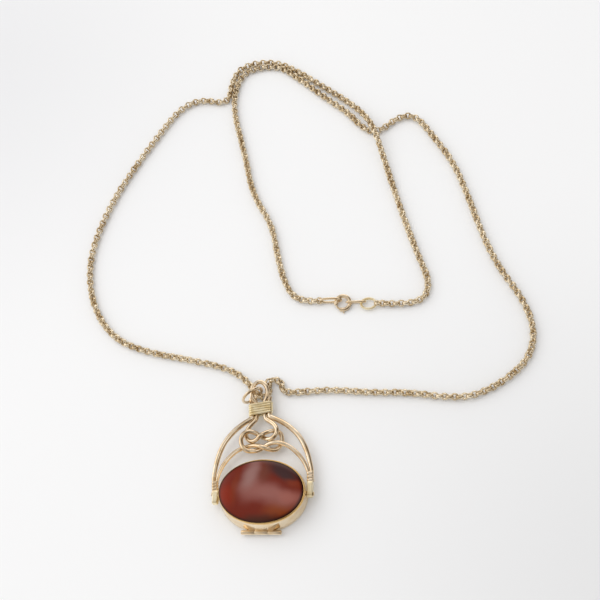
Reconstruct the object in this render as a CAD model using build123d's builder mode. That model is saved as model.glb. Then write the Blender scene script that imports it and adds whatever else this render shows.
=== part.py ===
"""Gold swivel fob pendant with an oval two-stone case, lying on its belcher chain.

X runs along the case's pivot axis, Y from the hinge to the bail, and the table is Z = 0.
"""

import os
from math import cos, pi, radians, sin, tan

from build123d import *

os.makedirs("parts", exist_ok=True)

# Place of the case's centre, so that the origin is the middle of the whole object's footprint
case_x = -6.65
case_y = -70.34

# Case
case_length = 23.3
case_width = 18.2
case_depth = 5.5
rim_inset_ends = 0.1
rim_inset_sides = 0.5
lip_width = 0.25
lip_lean = 0.12
case_wall = 0.75
split_height = 1.35
split_gap = 0.06
fit = 0.06

# Stones
carnelian_seat = 3.2
carnelian_dome = 1.15
girdle_height = 1.0
bloodstone_seat = 0.95
bloodstone_recess = 0.15
bloodstone_bevel = 0.4
bloodstone_edge = 0.3
back_lip_width = 0.75

# Dome of the carnelian: share of its outline, and share of its rise, at each section
dome_steps = ((1.0, 0.0), (0.92, 0.4), (0.74, 0.76), (0.46, 0.94), (0.15, 1.0))

# Lid
snap_rim_height = 0.75
snap_rim_wall = 0.5

# Hinge
hinge_length = 10.9
knuckle_diameter = 1.35
hinge_pin_diameter = 0.6
knuckle_gap = 0.12
hinge_standoff = 0.08
knuckle_reach = 0.6

# Pivots
pivot_height = 2.75
pivot_pin_diameter = 0.85
boss_diameter = 1.6
boss_length = 0.2
pin_head_diameter = 1.25
pin_head_length = 0.35
running_gap = 0.15

# Swivel eyes, in which the case sits a little askew
eye_thickness = 1.45
eye_depth = 2.2
eye_wall = 0.6
eye_slot_length = 1.9

# Frame
frame_lean = 5.0
frame_x = 0.1
outer_wire = 1.2
knot_wire = 1.05
wire_gap = 0.12
neck_height = 22.5
inner_neck_x = 1.05
knot_place = 0.667
knot_width = 11.4
knot_length = 5.8
stub_length = 1.7
neck_entry = 0.6
neck_exit = 0.35
stub_spread = 0.45
terminal_turns = 3
terminal_turn = 0.72
head_clearance = 0.1
terminal_floor = 0.35
terminal_binding = 0.3
wrap_binding = 0.5
wrap_turns = 5
wrap_turn = 0.68
stadium_edge = 0.01

# Outer arch: shares of the way out from the neck, and of the way up to it
arch_shape = ((1.0, 0.175), (0.903, 0.437), (0.74, 0.644), (0.482, 0.802), (0.267, 0.886), (0.086, 0.941))

# Inner arch below its knot: shares of the way out from the knot, the way up to it, and the crossing's rise
leg_shape = ((0.787, 0.545, 0.0), (0.329, 1.04, 0.4))

# Half of the knot: shares of its half width, its half length and the crossing's rise
knot_shape = (
    (0.825, -0.379, 1.25),
    (0.333, -0.379, 0.2),
    (0.0, -0.69, -1.4),
    (-0.351, -1.0, -0.2),
    (-0.772, -0.966, 1.1),
    (-1.0, -0.207, 1.1),
    (-0.947, 0.655, 1.1),
    (-0.596, 1.0, 1.1),
    (-0.263, 0.793, 0.1),
    (0.0, 0.448, -1.4),
    (0.298, 0.034, 0.0),
    (0.596, 0.069, 0.9),
    (0.825, 0.69, 1.2),
)

# Above the knot: shares of the way out from the neck, the way up to it, and the crossing's rise
knot_exit_shape = ((0.57, 0.304, 0.6), (0.097, 0.66, 0.0))

# Bail
bail_wire = 1.1
bail_width = 4.5
bail_length = 6.2
bail_rise = 1.25

# Bail: shares of its half width, its length and its rise
bail_shape = (
    (-1.11, 0.35, 0.75),
    (-1.17, 0.8, 1.0),
    (0.0, 1.06, 0.95),
    (1.17, 0.8, 1.0),
    (1.11, 0.35, 0.75),
)

# Jump ring: its place across, beyond the wrap and above the table
jump_ring_diameter = 6.75
jump_ring_wire = 0.75
jump_ring_turn = 35.0
jump_ring_place = (-4.5, 2.1, 3.45)

# Chain
chain_diameter = 1.8
crossing_gap = 0.15

# Clasp, placed from the top of the wrap as the chain is
bolt_ring_diameter = 5.2
bolt_tube = 1.15
bolt_tube_wall = 0.18
bolt_ring_place = (19.8, 31.3)
bolt_ring_tilt = 14.0
mouth_start = 195.0
mouth_angle = 52.0
bolt_seat_angle = 8.0
bolt_hidden_angle = 70.0
bolt_wire = 0.55
thumb_slot_start = 270.0
thumb_slot_angle = 72.0
thumb_slot_width = 0.42
thumb_stud_width = 0.3
thumb_stud_length = 0.55
thumb_stud_angle = 6.0
stud_clearance = 2.0
clasp_link_wire = 0.5
clasp_link_width = 2.6
clasp_link_height = 1.2
left_link_lean = 40.0
left_link_reach = 3.9
left_link_shift = 0.5
right_link_lean = 28.0
link_clearance = 0.2
tag_clearance = 0.65
tag_length = 4.9
tag_width = 3.9
tag_band = 0.75
tag_thickness = 0.5
tag_height = 0.6
tag_place = (27.2, 30.85)

gold = Color(0.83, 0.66, 0.42)
pale_gold = Color(0.9, 0.76, 0.53)
stone_red = Color(0.45, 0.12, 0.08)
stone_green = Color(0.1, 0.2, 0.14)

# Values worked out from the ones above
case_top = case_depth
rim_length = case_length - 2 * rim_inset_ends
rim_width = case_width - 2 * rim_inset_sides
lid_top = split_height - split_gap / 2
wall_bottom = split_height + split_gap / 2
lip_inside = (rim_length - 2 * lip_width, rim_width - 2 * lip_width)
girdle = (lip_inside[0] + 2 * lip_lean, lip_inside[1] + 2 * lip_lean)
cavity = (rim_length - 2 * case_wall, rim_width - 2 * case_wall)
hinge_y = -(case_width + knuckle_diameter) / 2 - hinge_standoff
eye_inside_x = case_length / 2 + boss_length + running_gap
inner_wire_x = case_length / 2 + running_gap + terminal_binding + (wire_gap + knot_wire) / 2
outer_wire_x = inner_wire_x + (knot_wire + outer_wire) / 2 + wire_gap
lean_rise = outer_wire_x * sin(radians(frame_lean))
terminal_start = pin_head_diameter / 2 + head_clearance + terminal_floor + lean_rise
terminal_top = terminal_start + terminal_turns * terminal_turn
cross_rise = (knot_wire + wire_gap) / 2
knot_height = knot_place * neck_height
outer_neck_x = inner_neck_x + (knot_wire + outer_wire) / 2 + wire_gap
wrap_length = wrap_turns * wrap_turn
wrap_top = neck_height + wrap_length
chain_z = chain_diameter / 2
crossing_z = chain_z + chain_diameter + crossing_gap
bolt_radius = (bolt_ring_diameter - bolt_tube) / 2
link_hold = bolt_radius - bolt_tube / 2 - link_clearance - clasp_link_wire
left_link_x = bolt_ring_place[0] - link_hold - left_link_reach / 2
right_link_start = bolt_ring_place[0] + link_hold
right_link_end = tag_place[0] - tag_length / 2 + tag_band + tag_clearance + clasp_link_wire


def level(height):
    """Horizontal plane at a height above the table, centred on the case."""
    return Plane((case_x, case_y, height))


def spot(x, y, z):
    """World point from a place given from the case's centre."""
    return Vector(case_x + x, case_y + y, z)


def chain_spot(x, y, z):
    """World point from a place given from the top of the wrap, where the chain takes hold."""
    return spot(x, wrap_top + y, z)


# The frame's own plane leans away from the case's axes
frame_plane = Plane(
    spot(frame_x, 0, pivot_height),
    x_dir=(cos(radians(frame_lean)), sin(radians(frame_lean)), 0),
    z_dir=(0, 0, 1),
)


def across_frame(y, x=0.0, z=0.0):
    """Plane square to the frame's length, at a place in the frame's plane."""
    return Plane(
        frame_plane.from_local_coords(Vector(x, y, z)),
        x_dir=frame_plane.x_dir,
        z_dir=frame_plane.y_dir,
    )


def finish(part, name, color):
    """Label a piece and write its file."""
    part.label = name
    part.color = color
    export_step(part, f"parts/{name}.step")


def largest_radii(points, share=0.45):
    """Radius at each corner of a route, as large as its two runs allow."""
    radii = []
    for before, corner, after in zip(points, points[1:], points[2:]):
        run_in = Vector(corner) - Vector(before)
        run_out = Vector(after) - Vector(corner)
        turn = run_in.get_angle(run_out)
        shorter = min(run_in.length, run_out.length)
        radii.append(share * shorter / tan(radians(turn / 2)))
    return radii


def round_bar(points, plane, diameter):
    """Round wire along straight runs joined by tangent arcs."""
    with BuildPart() as bar:
        with BuildLine(plane) as path:
            FilletPolyline(*points, radius=largest_radii(points))
        with BuildSketch(Plane(path.line @ 0, z_dir=path.line % 0)):
            Circle(diameter / 2)
        sweep(path=path.line)
    return bar.part


def ring(plane, outside, wire):
    """Closed round ring whose hole faces along the plane's normal."""
    section = Plane(plane.origin, x_dir=plane.x_dir, z_dir=plane.y_dir)
    with BuildPart() as closed:
        with BuildSketch(section):
            with Locations(((outside - wire) / 2, 0)):
                Circle(wire / 2)
        revolve(axis=Axis(plane.origin, plane.z_dir))
    return closed.part


# Case: flared oval wall, rubbed-over bezel, pivot pins and outer hinge knuckles
with BuildPart() as case:
    with BuildSketch(level(wall_bottom)):
        Ellipse(case_length / 2, case_width / 2)
    with BuildSketch(level(pivot_height)):
        Ellipse(case_length / 2, case_width / 2)
    loft(ruled=True)
    with BuildSketch(level(pivot_height)):
        Ellipse(case_length / 2, case_width / 2)
    with BuildSketch(level(case_top)):
        Ellipse(rim_length / 2, rim_width / 2)
    loft(ruled=True)
    for side in (-1, 1):
        along_pivot = Plane(
            spot(side * (case_length / 2 - case_wall), 0, pivot_height),
            x_dir=(0, 1, 0),
            z_dir=(side, 0, 0),
        )
        with BuildSketch(along_pivot):
            Circle(boss_diameter / 2)
        extrude(amount=case_wall + boss_length)
        with BuildSketch(along_pivot):
            Circle(pivot_pin_diameter / 2)
        extrude(amount=case_wall + boss_length + eye_thickness + 2 * running_gap + pin_head_length)
        with BuildSketch(along_pivot.offset(case_wall + boss_length + eye_thickness + 2 * running_gap)):
            Circle(pin_head_diameter / 2)
        extrude(amount=pin_head_length)
    third = hinge_length / 3
    for side in (-1, 1):
        with BuildSketch(Plane(spot(side * third, hinge_y, split_height), x_dir=(0, 1, 0), z_dir=(1, 0, 0))):
            Circle(knuckle_diameter / 2)
            with Locations((knuckle_reach, knuckle_diameter / 4 + split_gap / 2)):
                Rectangle(2 * knuckle_reach, knuckle_diameter / 2)
        extrude(amount=(third - knuckle_gap) / 2, both=True)
    with BuildSketch(level(wall_bottom)):
        Ellipse(cavity[0] / 2, cavity[1] / 2)
    extrude(amount=carnelian_seat - wall_bottom, mode=Mode.SUBTRACT)
    with BuildSketch(level(carnelian_seat)):
        Ellipse(girdle[0] / 2 + fit, girdle[1] / 2 + fit)
    extrude(amount=girdle_height, mode=Mode.SUBTRACT)
    with BuildSketch(level(carnelian_seat + girdle_height)):
        Ellipse(girdle[0] / 2 + fit, girdle[1] / 2 + fit)
    with BuildSketch(level(case_top)):
        Ellipse(lip_inside[0] / 2 + fit, lip_inside[1] / 2 + fit)
    loft(ruled=True, mode=Mode.SUBTRACT)
    hinge_axis = Plane(spot(-hinge_length / 2, hinge_y, split_height), x_dir=(0, 1, 0), z_dir=(1, 0, 0))
    with BuildSketch(hinge_axis):
        Circle(hinge_pin_diameter / 2 + fit / 2)
    extrude(amount=hinge_length, mode=Mode.SUBTRACT)
finish(case.part, "case", gold)

# Carnelian: upright girdle, held by the leaning lip, under a low dome
with BuildPart() as carnelian:
    with BuildSketch(level(carnelian_seat + fit)):
        Ellipse(girdle[0] / 2, girdle[1] / 2)
    extrude(amount=girdle_height - fit)
    with BuildSketch(level(carnelian_seat + girdle_height)):
        Ellipse(girdle[0] / 2, girdle[1] / 2)
    with BuildSketch(level(case_top)):
        Ellipse(lip_inside[0] / 2, lip_inside[1] / 2)
    loft(ruled=True)
    for share, rise in dome_steps:
        with BuildSketch(level(case_top + rise * carnelian_dome)):
            Ellipse(share * lip_inside[0] / 2, share * lip_inside[1] / 2)
    loft()
finish(carnelian.part, "carnelian", stone_red)

# Lid: back bezel, snap rim and middle knuckle
back_opening = (rim_length - 2 * back_lip_width, rim_width - 2 * back_lip_width)
snap_rim = (cavity[0] - 2 * fit, cavity[1] - 2 * fit)
with BuildPart() as lid:
    with BuildSketch(level(0)):
        Ellipse(rim_length / 2, rim_width / 2)
    with BuildSketch(level(lid_top)):
        Ellipse(case_length / 2, case_width / 2)
    loft(ruled=True)
    with BuildSketch(level(lid_top)):
        Ellipse(snap_rim[0] / 2, snap_rim[1] / 2)
    extrude(amount=snap_rim_height)
    with BuildSketch(Plane(spot(0, hinge_y, split_height), x_dir=(0, 1, 0), z_dir=(1, 0, 0))):
        Circle(knuckle_diameter / 2)
        with Locations((knuckle_reach, -knuckle_diameter / 4 - split_gap / 2)):
            Rectangle(2 * knuckle_reach, knuckle_diameter / 2)
    extrude(amount=(third - knuckle_gap) / 2, both=True)
    with BuildSketch(level(0)):
        Ellipse(back_opening[0] / 2, back_opening[1] / 2)
    extrude(amount=bloodstone_seat, mode=Mode.SUBTRACT)
    with BuildSketch(level(bloodstone_seat)):
        Ellipse(snap_rim[0] / 2 - snap_rim_wall, snap_rim[1] / 2 - snap_rim_wall)
    extrude(amount=case_depth, mode=Mode.SUBTRACT)
    with BuildSketch(hinge_axis):
        Circle(hinge_pin_diameter / 2 + fit / 2)
    extrude(amount=hinge_length, mode=Mode.SUBTRACT)
finish(lid.part, "lid", gold)

# Bloodstone: flat tablet with a bevelled edge, set in from the back
stone_length = back_opening[0] - 2 * fit
stone_width = back_opening[1] - 2 * fit
with BuildPart() as bloodstone:
    with BuildSketch(level(bloodstone_recess)):
        Ellipse(stone_length / 2 - bloodstone_bevel, stone_width / 2 - bloodstone_bevel)
    with BuildSketch(level(bloodstone_recess + bloodstone_edge)):
        Ellipse(stone_length / 2, stone_width / 2)
    loft(ruled=True)
    with BuildSketch(level(bloodstone_recess + bloodstone_edge)):
        Ellipse(stone_length / 2, stone_width / 2)
    extrude(amount=bloodstone_seat - bloodstone_recess - bloodstone_edge)
finish(bloodstone.part, "bloodstone", stone_green)

# Hinge pin
with BuildPart() as hinge_pin:
    with BuildSketch(hinge_axis):
        Circle(hinge_pin_diameter / 2)
    extrude(amount=hinge_length)
finish(hinge_pin.part, "hinge_pin", gold)


def terminal(side):
    """Swivel eye with binding turns above it, for one side of the frame."""
    slot_shift = side * (eye_slot_length / 2 - pivot_pin_diameter / 2 - fit)
    eye_bottom = slot_shift - eye_slot_length / 2 - eye_wall
    eye_top = terminal_start - terminal_floor / 2 + side * lean_rise
    eye_plane = Plane(spot(side * eye_inside_x, 0, pivot_height), x_dir=(0, 1, 0), z_dir=(side, 0, 0))
    sleeve_x = side * (inner_wire_x + outer_wire_x) / 2
    bore_width = outer_wire_x - inner_wire_x + (knot_wire + outer_wire) / 2 + wire_gap
    bore_depth = outer_wire + wire_gap
    with BuildPart() as piece:
        with BuildSketch(across_frame(terminal_start - terminal_floor, sleeve_x)):
            RectangleRounded(
                bore_width + 2 * terminal_binding,
                bore_depth + 2 * terminal_binding,
                bore_depth / 2 + terminal_binding - stadium_edge,
            )
        extrude(amount=terminal_floor + terminal_turns * terminal_turn)
        with BuildSketch(across_frame(terminal_start, sleeve_x)):
            RectangleRounded(bore_width, bore_depth, bore_depth / 2 - stadium_edge)
        extrude(amount=terminal_top - terminal_start, mode=Mode.SUBTRACT)
        with BuildSketch(eye_plane):
            with Locations(((eye_bottom + eye_top) / 2, 0)):
                RectangleRounded(eye_top - eye_bottom, eye_depth, eye_wall)
        extrude(amount=eye_thickness)
        with BuildSketch(eye_plane):
            with Locations((slot_shift, 0)):
                SlotOverall(eye_slot_length, pivot_pin_diameter + 2 * fit)
        extrude(amount=eye_thickness, mode=Mode.SUBTRACT)
    return piece.part


finish(terminal(-1), "terminal_left", gold)
finish(terminal(1), "terminal_right", gold)

def way(start, end, share):
    """Length part of the way from one size to another."""
    return start + share * (end - start)


# Outer arches, from the terminals up through the wrap to short free ends
outer_route = [(outer_wire_x, terminal_start + wire_gap, 0)]
for out, up in arch_shape:
    outer_route.append((way(outer_neck_x, outer_wire_x, out), way(terminal_start, neck_height, up), 0))
outer_route.append((outer_neck_x, neck_height - neck_entry, 0))
outer_route.append((outer_neck_x, wrap_top + neck_exit, 0))
outer_route.append((outer_neck_x + stub_spread, wrap_top + stub_length, 0))
for side, name in ((-1, "outer_wire_left"), (1, "outer_wire_right")):
    points = [(side * x, y, z) for x, y, z in outer_route]
    finish(round_bar(points, frame_plane, outer_wire), name, pale_gold)

# Inner arches: each ties half of the reef knot and ends in the wrap
knot_route = [(inner_wire_x, terminal_start + wire_gap, 0), (inner_wire_x, terminal_top, 0)]
for out, up, over in leg_shape:
    x = way(knot_width / 2, inner_wire_x, out)
    y = way(terminal_top, knot_height - knot_length / 2, up)
    knot_route.append((x, y, over))
for across, up, over in knot_shape:
    knot_route.append((across * knot_width / 2, knot_height + up * knot_length / 2, over))
for out, up, over in knot_exit_shape:
    x = way(inner_neck_x, knot_width / 2, out)
    y = way(knot_height + knot_length / 2, neck_height, up)
    knot_route.append((x, y, over))
knot_route.append((inner_neck_x, neck_height - neck_entry, 0))
knot_route.append((inner_neck_x, (neck_height + wrap_top) / 2, 0))
for side, name in ((-1, "knot_wire_left"), (1, "knot_wire_right")):
    points = [(side * x, y, side * over * cross_rise) for x, y, over in knot_route]
    finish(round_bar(points, frame_plane, knot_wire), name, pale_gold)

# Wrap: turns of binding wire round the four wires
wrap_bore = (2 * outer_neck_x + outer_wire + wire_gap, outer_wire + wire_gap)
with BuildPart() as top_wrap:
    for turn in range(wrap_turns):
        with BuildSketch(across_frame(neck_height + turn * wrap_turn)):
            RectangleRounded(
                wrap_bore[0] + 2 * wrap_binding,
                wrap_bore[1] + 2 * wrap_binding,
                wrap_bore[1] / 2 + wrap_binding - stadium_edge,
            )
        extrude(amount=wrap_turn)
    with BuildSketch(across_frame(neck_height)):
        RectangleRounded(wrap_bore[0], wrap_bore[1], wrap_bore[1] / 2 - stadium_edge)
    extrude(amount=wrap_length, mode=Mode.SUBTRACT)
finish(top_wrap.part, "top_wrap", gold)

# Bail: teardrop whose legs stand in the wrap and whose top rises over the chain
half_bail = (bail_width - bail_wire) / 2
bail_foot = (neck_height + wrap_top) / 2 + wire_gap
bail_route = [(-inner_neck_x, bail_foot, 0), (-inner_neck_x, wrap_top + wire_gap, 0)]
for across, up, rise in bail_shape:
    bail_route.append((across * half_bail, wrap_top + up * bail_length, rise * bail_rise))
bail_route.append((inner_neck_x, wrap_top + wire_gap, 0))
bail_route.append((inner_neck_x, bail_foot, 0))
finish(round_bar(bail_route, frame_plane, bail_wire), "bail", gold)

# Jump ring, standing on edge through the bail and round the chain
jump_ring_plane = Plane(
    chain_spot(*jump_ring_place),
    x_dir=(cos(radians(jump_ring_turn)), sin(radians(jump_ring_turn)), 0),
    z_dir=(sin(radians(jump_ring_turn)), -cos(radians(jump_ring_turn)), 0),
)
finish(ring(jump_ring_plane, jump_ring_diameter, jump_ring_wire), "jump_ring", gold)

# Chain routes, from under the bail to each end at the clasp, measured from the top of the wrap
chain_plane = Plane(chain_spot(0, 0, 0))
left_route = [
    (-0.4, 5.6, 1.15),
    (-0.3, 3.1, 1.4),
    (-1.6, 1.9, 1.85),
    (-3.35, 2.6, 2.35),
    (-7.0, 7.6, 1.6),
    (-12.6, 11.5, chain_z),
    (-24.5, 14.6, chain_z),
    (-38.0, 17.5, chain_z),
    (-48.0, 21.9, chain_z),
    (-55.6, 31.1, chain_z),
    (-59.6, 43.6, chain_z),
    (-59.7, 55.6, chain_z),
    (-55.8, 70.6, chain_z),
    (-49.8, 83.9, chain_z),
    (-42.8, 96.9, chain_z),
    (-36.6, 107.1, chain_z),
    (-29.5, 110.1, chain_z),
    (-20.3, 107.1, chain_z),
    (-20.1, 116.6, chain_z),
    (-18.4, 123.4, chain_z),
    (-9.5, 125.1, chain_z),
    (-1.5, 122.7, chain_z),
    (9.6, 113.0, chain_z),
    (20.6, 103.9, chain_z),
    (26.4, 96.1, crossing_z),
    (29.1, 89.7, crossing_z),
    (32.6, 76.6, chain_z),
    (36.6, 62.1, chain_z),
    (41.2, 47.1, chain_z),
    (44.9, 37.1, chain_z),
    (43.2, 31.3, chain_z),
    (36.6, 30.1, chain_z),
    (tag_place[0] + tag_length / 2 + link_clearance, 30.8, chain_z),
]
right_route = [
    (-0.4, 5.6, 1.15),
    (-0.5, 7.5, chain_z),
    (1.2, 8.0, chain_z),
    (3.6, 7.7, chain_z),
    (4.2, 4.4, chain_z),
    (7.5, 3.6, chain_z),
    (17.5, 4.3, chain_z),
    (28.0, 3.1, chain_z),
    (38.5, 3.0, chain_z),
    (49.0, 1.2, chain_z),
    (57.0, 1.5, chain_z),
    (66.0, 6.7, chain_z),
    (71.8, 12.9, chain_z),
    (73.4, 21.3, chain_z),
    (70.4, 31.1, chain_z),
    (64.6, 40.7, chain_z),
    (60.4, 51.9, chain_z),
    (57.0, 64.6, chain_z),
    (52.8, 78.1, chain_z),
    (46.8, 88.6, chain_z),
    (41.2, 97.5, chain_z),
    (35.5, 97.0, chain_z),
    (29.6, 91.5, chain_z),
    (25.0, 93.1, chain_z),
    (20.0, 99.9, chain_z),
    (12.6, 106.5, chain_z),
    (2.6, 116.1, chain_z),
    (-4.0, 122.0, chain_z),
    (-13.6, 121.5, chain_z),
    (-16.8, 116.7, chain_z),
    (-18.2, 105.6, chain_z),
    (-13.2, 86.1, chain_z),
    (-9.7, 70.7, chain_z),
    (-2.8, 59.3, chain_z),
    (-0.6, 48.6, chain_z),
    (2.6, 37.3, chain_z),
    (7.0, 32.1, chain_z),
    (left_link_x - left_link_reach / 2 - link_clearance, 32.3, chain_z),
]
for name, route in (("chain_left", left_route), ("chain_right", right_route)):
    chain = round_bar(route, chain_plane, chain_diameter)
    with BuildLine(chain_plane) as path:
        FilletPolyline(*route, radius=largest_radii(route))
    drawn_length = path.wire().length
    drawn = drawn_length * pi * chain_diameter**2 / 4
    print(name, "length", round(drawn_length, 1), "radii", [round(r, 1) for r in largest_radii(route)])
    print(name, "volume against section times length", round(chain.volume / drawn, 5))
    finish(chain, name, pale_gold)

# Clasp plane: the bolt ring lies with its far edge propped up by its links
bolt_ring_z = bolt_tube / 2 + bolt_radius * sin(radians(bolt_ring_tilt))
bolt_plane = Plane(
    chain_spot(*bolt_ring_place, bolt_ring_z),
    x_dir=(1, 0, 0),
    z_dir=(0, -sin(radians(bolt_ring_tilt)), cos(radians(bolt_ring_tilt))),
)
bolt_axis = Axis(bolt_plane.origin, bolt_plane.z_dir)


def ring_section(angle):
    """Plane across the bolt ring's tube at an angle round it, local x pointing outwards."""
    around = Plane(bolt_plane.location * Rotation(0, 0, angle))
    origin = around.from_local_coords(Vector(bolt_radius, 0, 0))
    return Plane(origin, x_dir=around.x_dir, z_dir=around.y_dir)


# Bolt ring: hollow tube from one lip of its mouth to the other, slit on the way for the thumb stud
slot_end = thumb_slot_start + thumb_slot_angle
tube_stretches = (
    (mouth_start + mouth_angle, thumb_slot_start, 0.0),
    (thumb_slot_start, slot_end, thumb_slot_width),
    (slot_end, mouth_start + 360, 0.0),
)
with BuildPart() as bolt_ring:
    for start, end, slit in tube_stretches:
        with BuildSketch(ring_section(start)):
            Circle(bolt_tube / 2)
            Circle(bolt_tube / 2 - bolt_tube_wall, mode=Mode.SUBTRACT)
            if slit:
                with Locations((bolt_tube / 2, 0)):
                    Rectangle(bolt_tube, slit, mode=Mode.SUBTRACT)
        revolve(axis=bolt_axis, revolution_arc=end - start)
finish(bolt_ring.part, "bolt_ring", gold)

# Bolt: wire that closes the mouth, with its thumb stud in the slot
with BuildPart() as bolt:
    with BuildSketch(ring_section(mouth_start - bolt_seat_angle)):
        Circle(bolt_wire / 2)
    revolve(axis=bolt_axis, revolution_arc=bolt_seat_angle + mouth_angle + bolt_hidden_angle)
    with BuildSketch(ring_section(thumb_slot_start + stud_clearance)):
        with Locations(((bolt_tube / 2 + thumb_stud_length) / 2, 0)):
            Rectangle(bolt_tube / 2 + thumb_stud_length, thumb_stud_width)
    revolve(axis=bolt_axis, revolution_arc=thumb_stud_angle)
finish(bolt.part, "bolt", pale_gold)


def oval_link(x, y, length, lean):
    """Wire link standing on edge along X, its top leaning towards -Y."""
    link_plane = Plane(
        chain_spot(x, y, clasp_link_height),
        x_dir=(1, 0, 0),
        z_dir=(0, -cos(radians(lean)), -sin(radians(lean))),
    )
    with BuildSketch(link_plane) as outline:
        SlotOverall(length - clasp_link_wire, clasp_link_width - clasp_link_wire)
    path = outline.sketch.face().outer_wire()
    with BuildPart() as link:
        with BuildSketch(Plane(path @ 0, z_dir=path % 0)):
            Circle(clasp_link_wire / 2)
        sweep(path=path)
    return link.part


# Small links on edge either side of the bolt ring
link_y = (bolt_ring_place[1] + tag_place[1]) / 2
left_link = oval_link(left_link_x, bolt_ring_place[1] + left_link_shift, left_link_reach, left_link_lean)
finish(left_link, "clasp_link_left", gold)
right_link_length = right_link_end - right_link_start
right_link_x = (right_link_start + right_link_end) / 2
right_link = oval_link(right_link_x, link_y, right_link_length, right_link_lean)
finish(right_link, "clasp_link_right", gold)

# Oval tag link, left bare
with BuildPart() as tag_link:
    with BuildSketch(Plane(chain_spot(*tag_place, tag_height))):
        Ellipse(tag_length / 2, tag_width / 2)
        Ellipse(tag_length / 2 - tag_band, tag_width / 2 - tag_band, mode=Mode.SUBTRACT)
    extrude(amount=tag_thickness)
finish(tag_link.part, "tag_link", pale_gold)
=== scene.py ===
"""Looks of the gold swivel fob pendant, its belcher chain and its clasp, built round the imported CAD.

Sizes are in millimetres from the case's centre on the table, as in the part's source, and become metres in spot().
"""

import math

import bmesh
import bpy
from bpy.props import FloatProperty, FloatVectorProperty, IntProperty, PointerProperty
from mathutils import Matrix, Vector


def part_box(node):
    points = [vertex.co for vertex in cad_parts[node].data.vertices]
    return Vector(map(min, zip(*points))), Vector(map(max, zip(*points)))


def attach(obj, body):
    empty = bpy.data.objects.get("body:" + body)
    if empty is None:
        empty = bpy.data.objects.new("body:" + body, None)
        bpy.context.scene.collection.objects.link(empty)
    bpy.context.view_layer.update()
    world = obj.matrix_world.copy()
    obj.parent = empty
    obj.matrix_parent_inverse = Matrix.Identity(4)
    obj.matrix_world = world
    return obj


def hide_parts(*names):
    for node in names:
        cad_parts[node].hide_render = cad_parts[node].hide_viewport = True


bl_info = {
    "name": "Swivel fob pendant",
    "version": (1, 0, 0),
    "blender": (4, 5, 0),
    "location": "3D View > Sidebar > Fob",
    "description": "Builds a gold swivel fob pendant on its belcher chain, with its clasp",
    "category": "Object",
}

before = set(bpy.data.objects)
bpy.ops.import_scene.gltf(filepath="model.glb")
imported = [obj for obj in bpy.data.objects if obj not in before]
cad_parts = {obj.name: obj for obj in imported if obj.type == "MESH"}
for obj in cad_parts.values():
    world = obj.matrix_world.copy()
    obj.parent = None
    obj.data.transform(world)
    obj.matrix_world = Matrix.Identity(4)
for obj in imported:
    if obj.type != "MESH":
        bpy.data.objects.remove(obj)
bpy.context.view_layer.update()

MM = 0.001
STONE_LOW, STONE_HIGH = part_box("carnelian")
CENTRE = (STONE_LOW + STONE_HIGH) / 2

# Case, as in the part's source, with the flares and shifts that the photo's outline asks for
CASE_LENGTH = 23.3
CASE_WIDTH = 18.2
CASE_DEPTH = 5.5
RIM_LENGTH = 23.1
RIM_WIDTH = 17.2
LIP_WIDTH = 0.19
STONE_SHIFT = 0.12
RIM_SHIFT = 0.25
STONE_LENGTH = RIM_LENGTH - 2 * LIP_WIDTH
STONE_WIDTH = RIM_WIDTH - 2 * LIP_WIDTH
STONE_SEAT = 4.32
STONE_GIRDLE = CASE_DEPTH - 0.12
STONE_GAP = 0.02
CARNELIAN_DOME = 1.15
END_FLARE = 0.3
SIDE_FLARE = 0.6
SPLIT_HEIGHT = 1.35
SPLIT_GAP = 0.03

# Rings of the wall, the lip and the lid: how far inside the case's length and width, height, and shift along x
WALL_RINGS = (
    (0.02 - END_FLARE, 0.02 - SIDE_FLARE, SPLIT_HEIGHT + SPLIT_GAP, 0),
    (-END_FLARE * 0.97, -SIDE_FLARE * 0.97, SPLIT_HEIGHT + 0.12, 0),
    (-END_FLARE * 0.55, -SIDE_FLARE * 0.55, 2.1, 0),
    (0.0, -0.05, 3.0, 0),
    (0.02, 0.12, 3.8, RIM_SHIFT * 0.5),
    (0.07, 0.3, 4.45, RIM_SHIFT * 0.8),
    (0.12, 0.38, 4.6, RIM_SHIFT),
    (0.18, 0.44, 4.68, RIM_SHIFT),
    (0.5, 0.9, 4.68, STONE_SHIFT),
    (0.5, 0.9, 4.3, STONE_SHIFT),
    (0.75, 1.15, 4.3, 0),
    (0.75, 1.15, SPLIT_HEIGHT + SPLIT_GAP, 0),
)
LIP_RINGS = (
    (0.14, 0.4, 4.66, RIM_SHIFT),
    (0.02, 0.31, 4.8, RIM_SHIFT),
    (-0.04, 0.28, 5.0, RIM_SHIFT),
    (-0.03, 0.31, 5.2, RIM_SHIFT),
    (0.07, 0.42, 5.4, RIM_SHIFT),
    (0.15, 0.54, 5.5, RIM_SHIFT),
    (0.24, 0.64, 5.49, STONE_SHIFT),
    (0.28, 0.68, 5.42, STONE_SHIFT),
    (0.3, 0.7, 5.3, STONE_SHIFT),
    (0.3, 0.7, 4.66, STONE_SHIFT),
)
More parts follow.
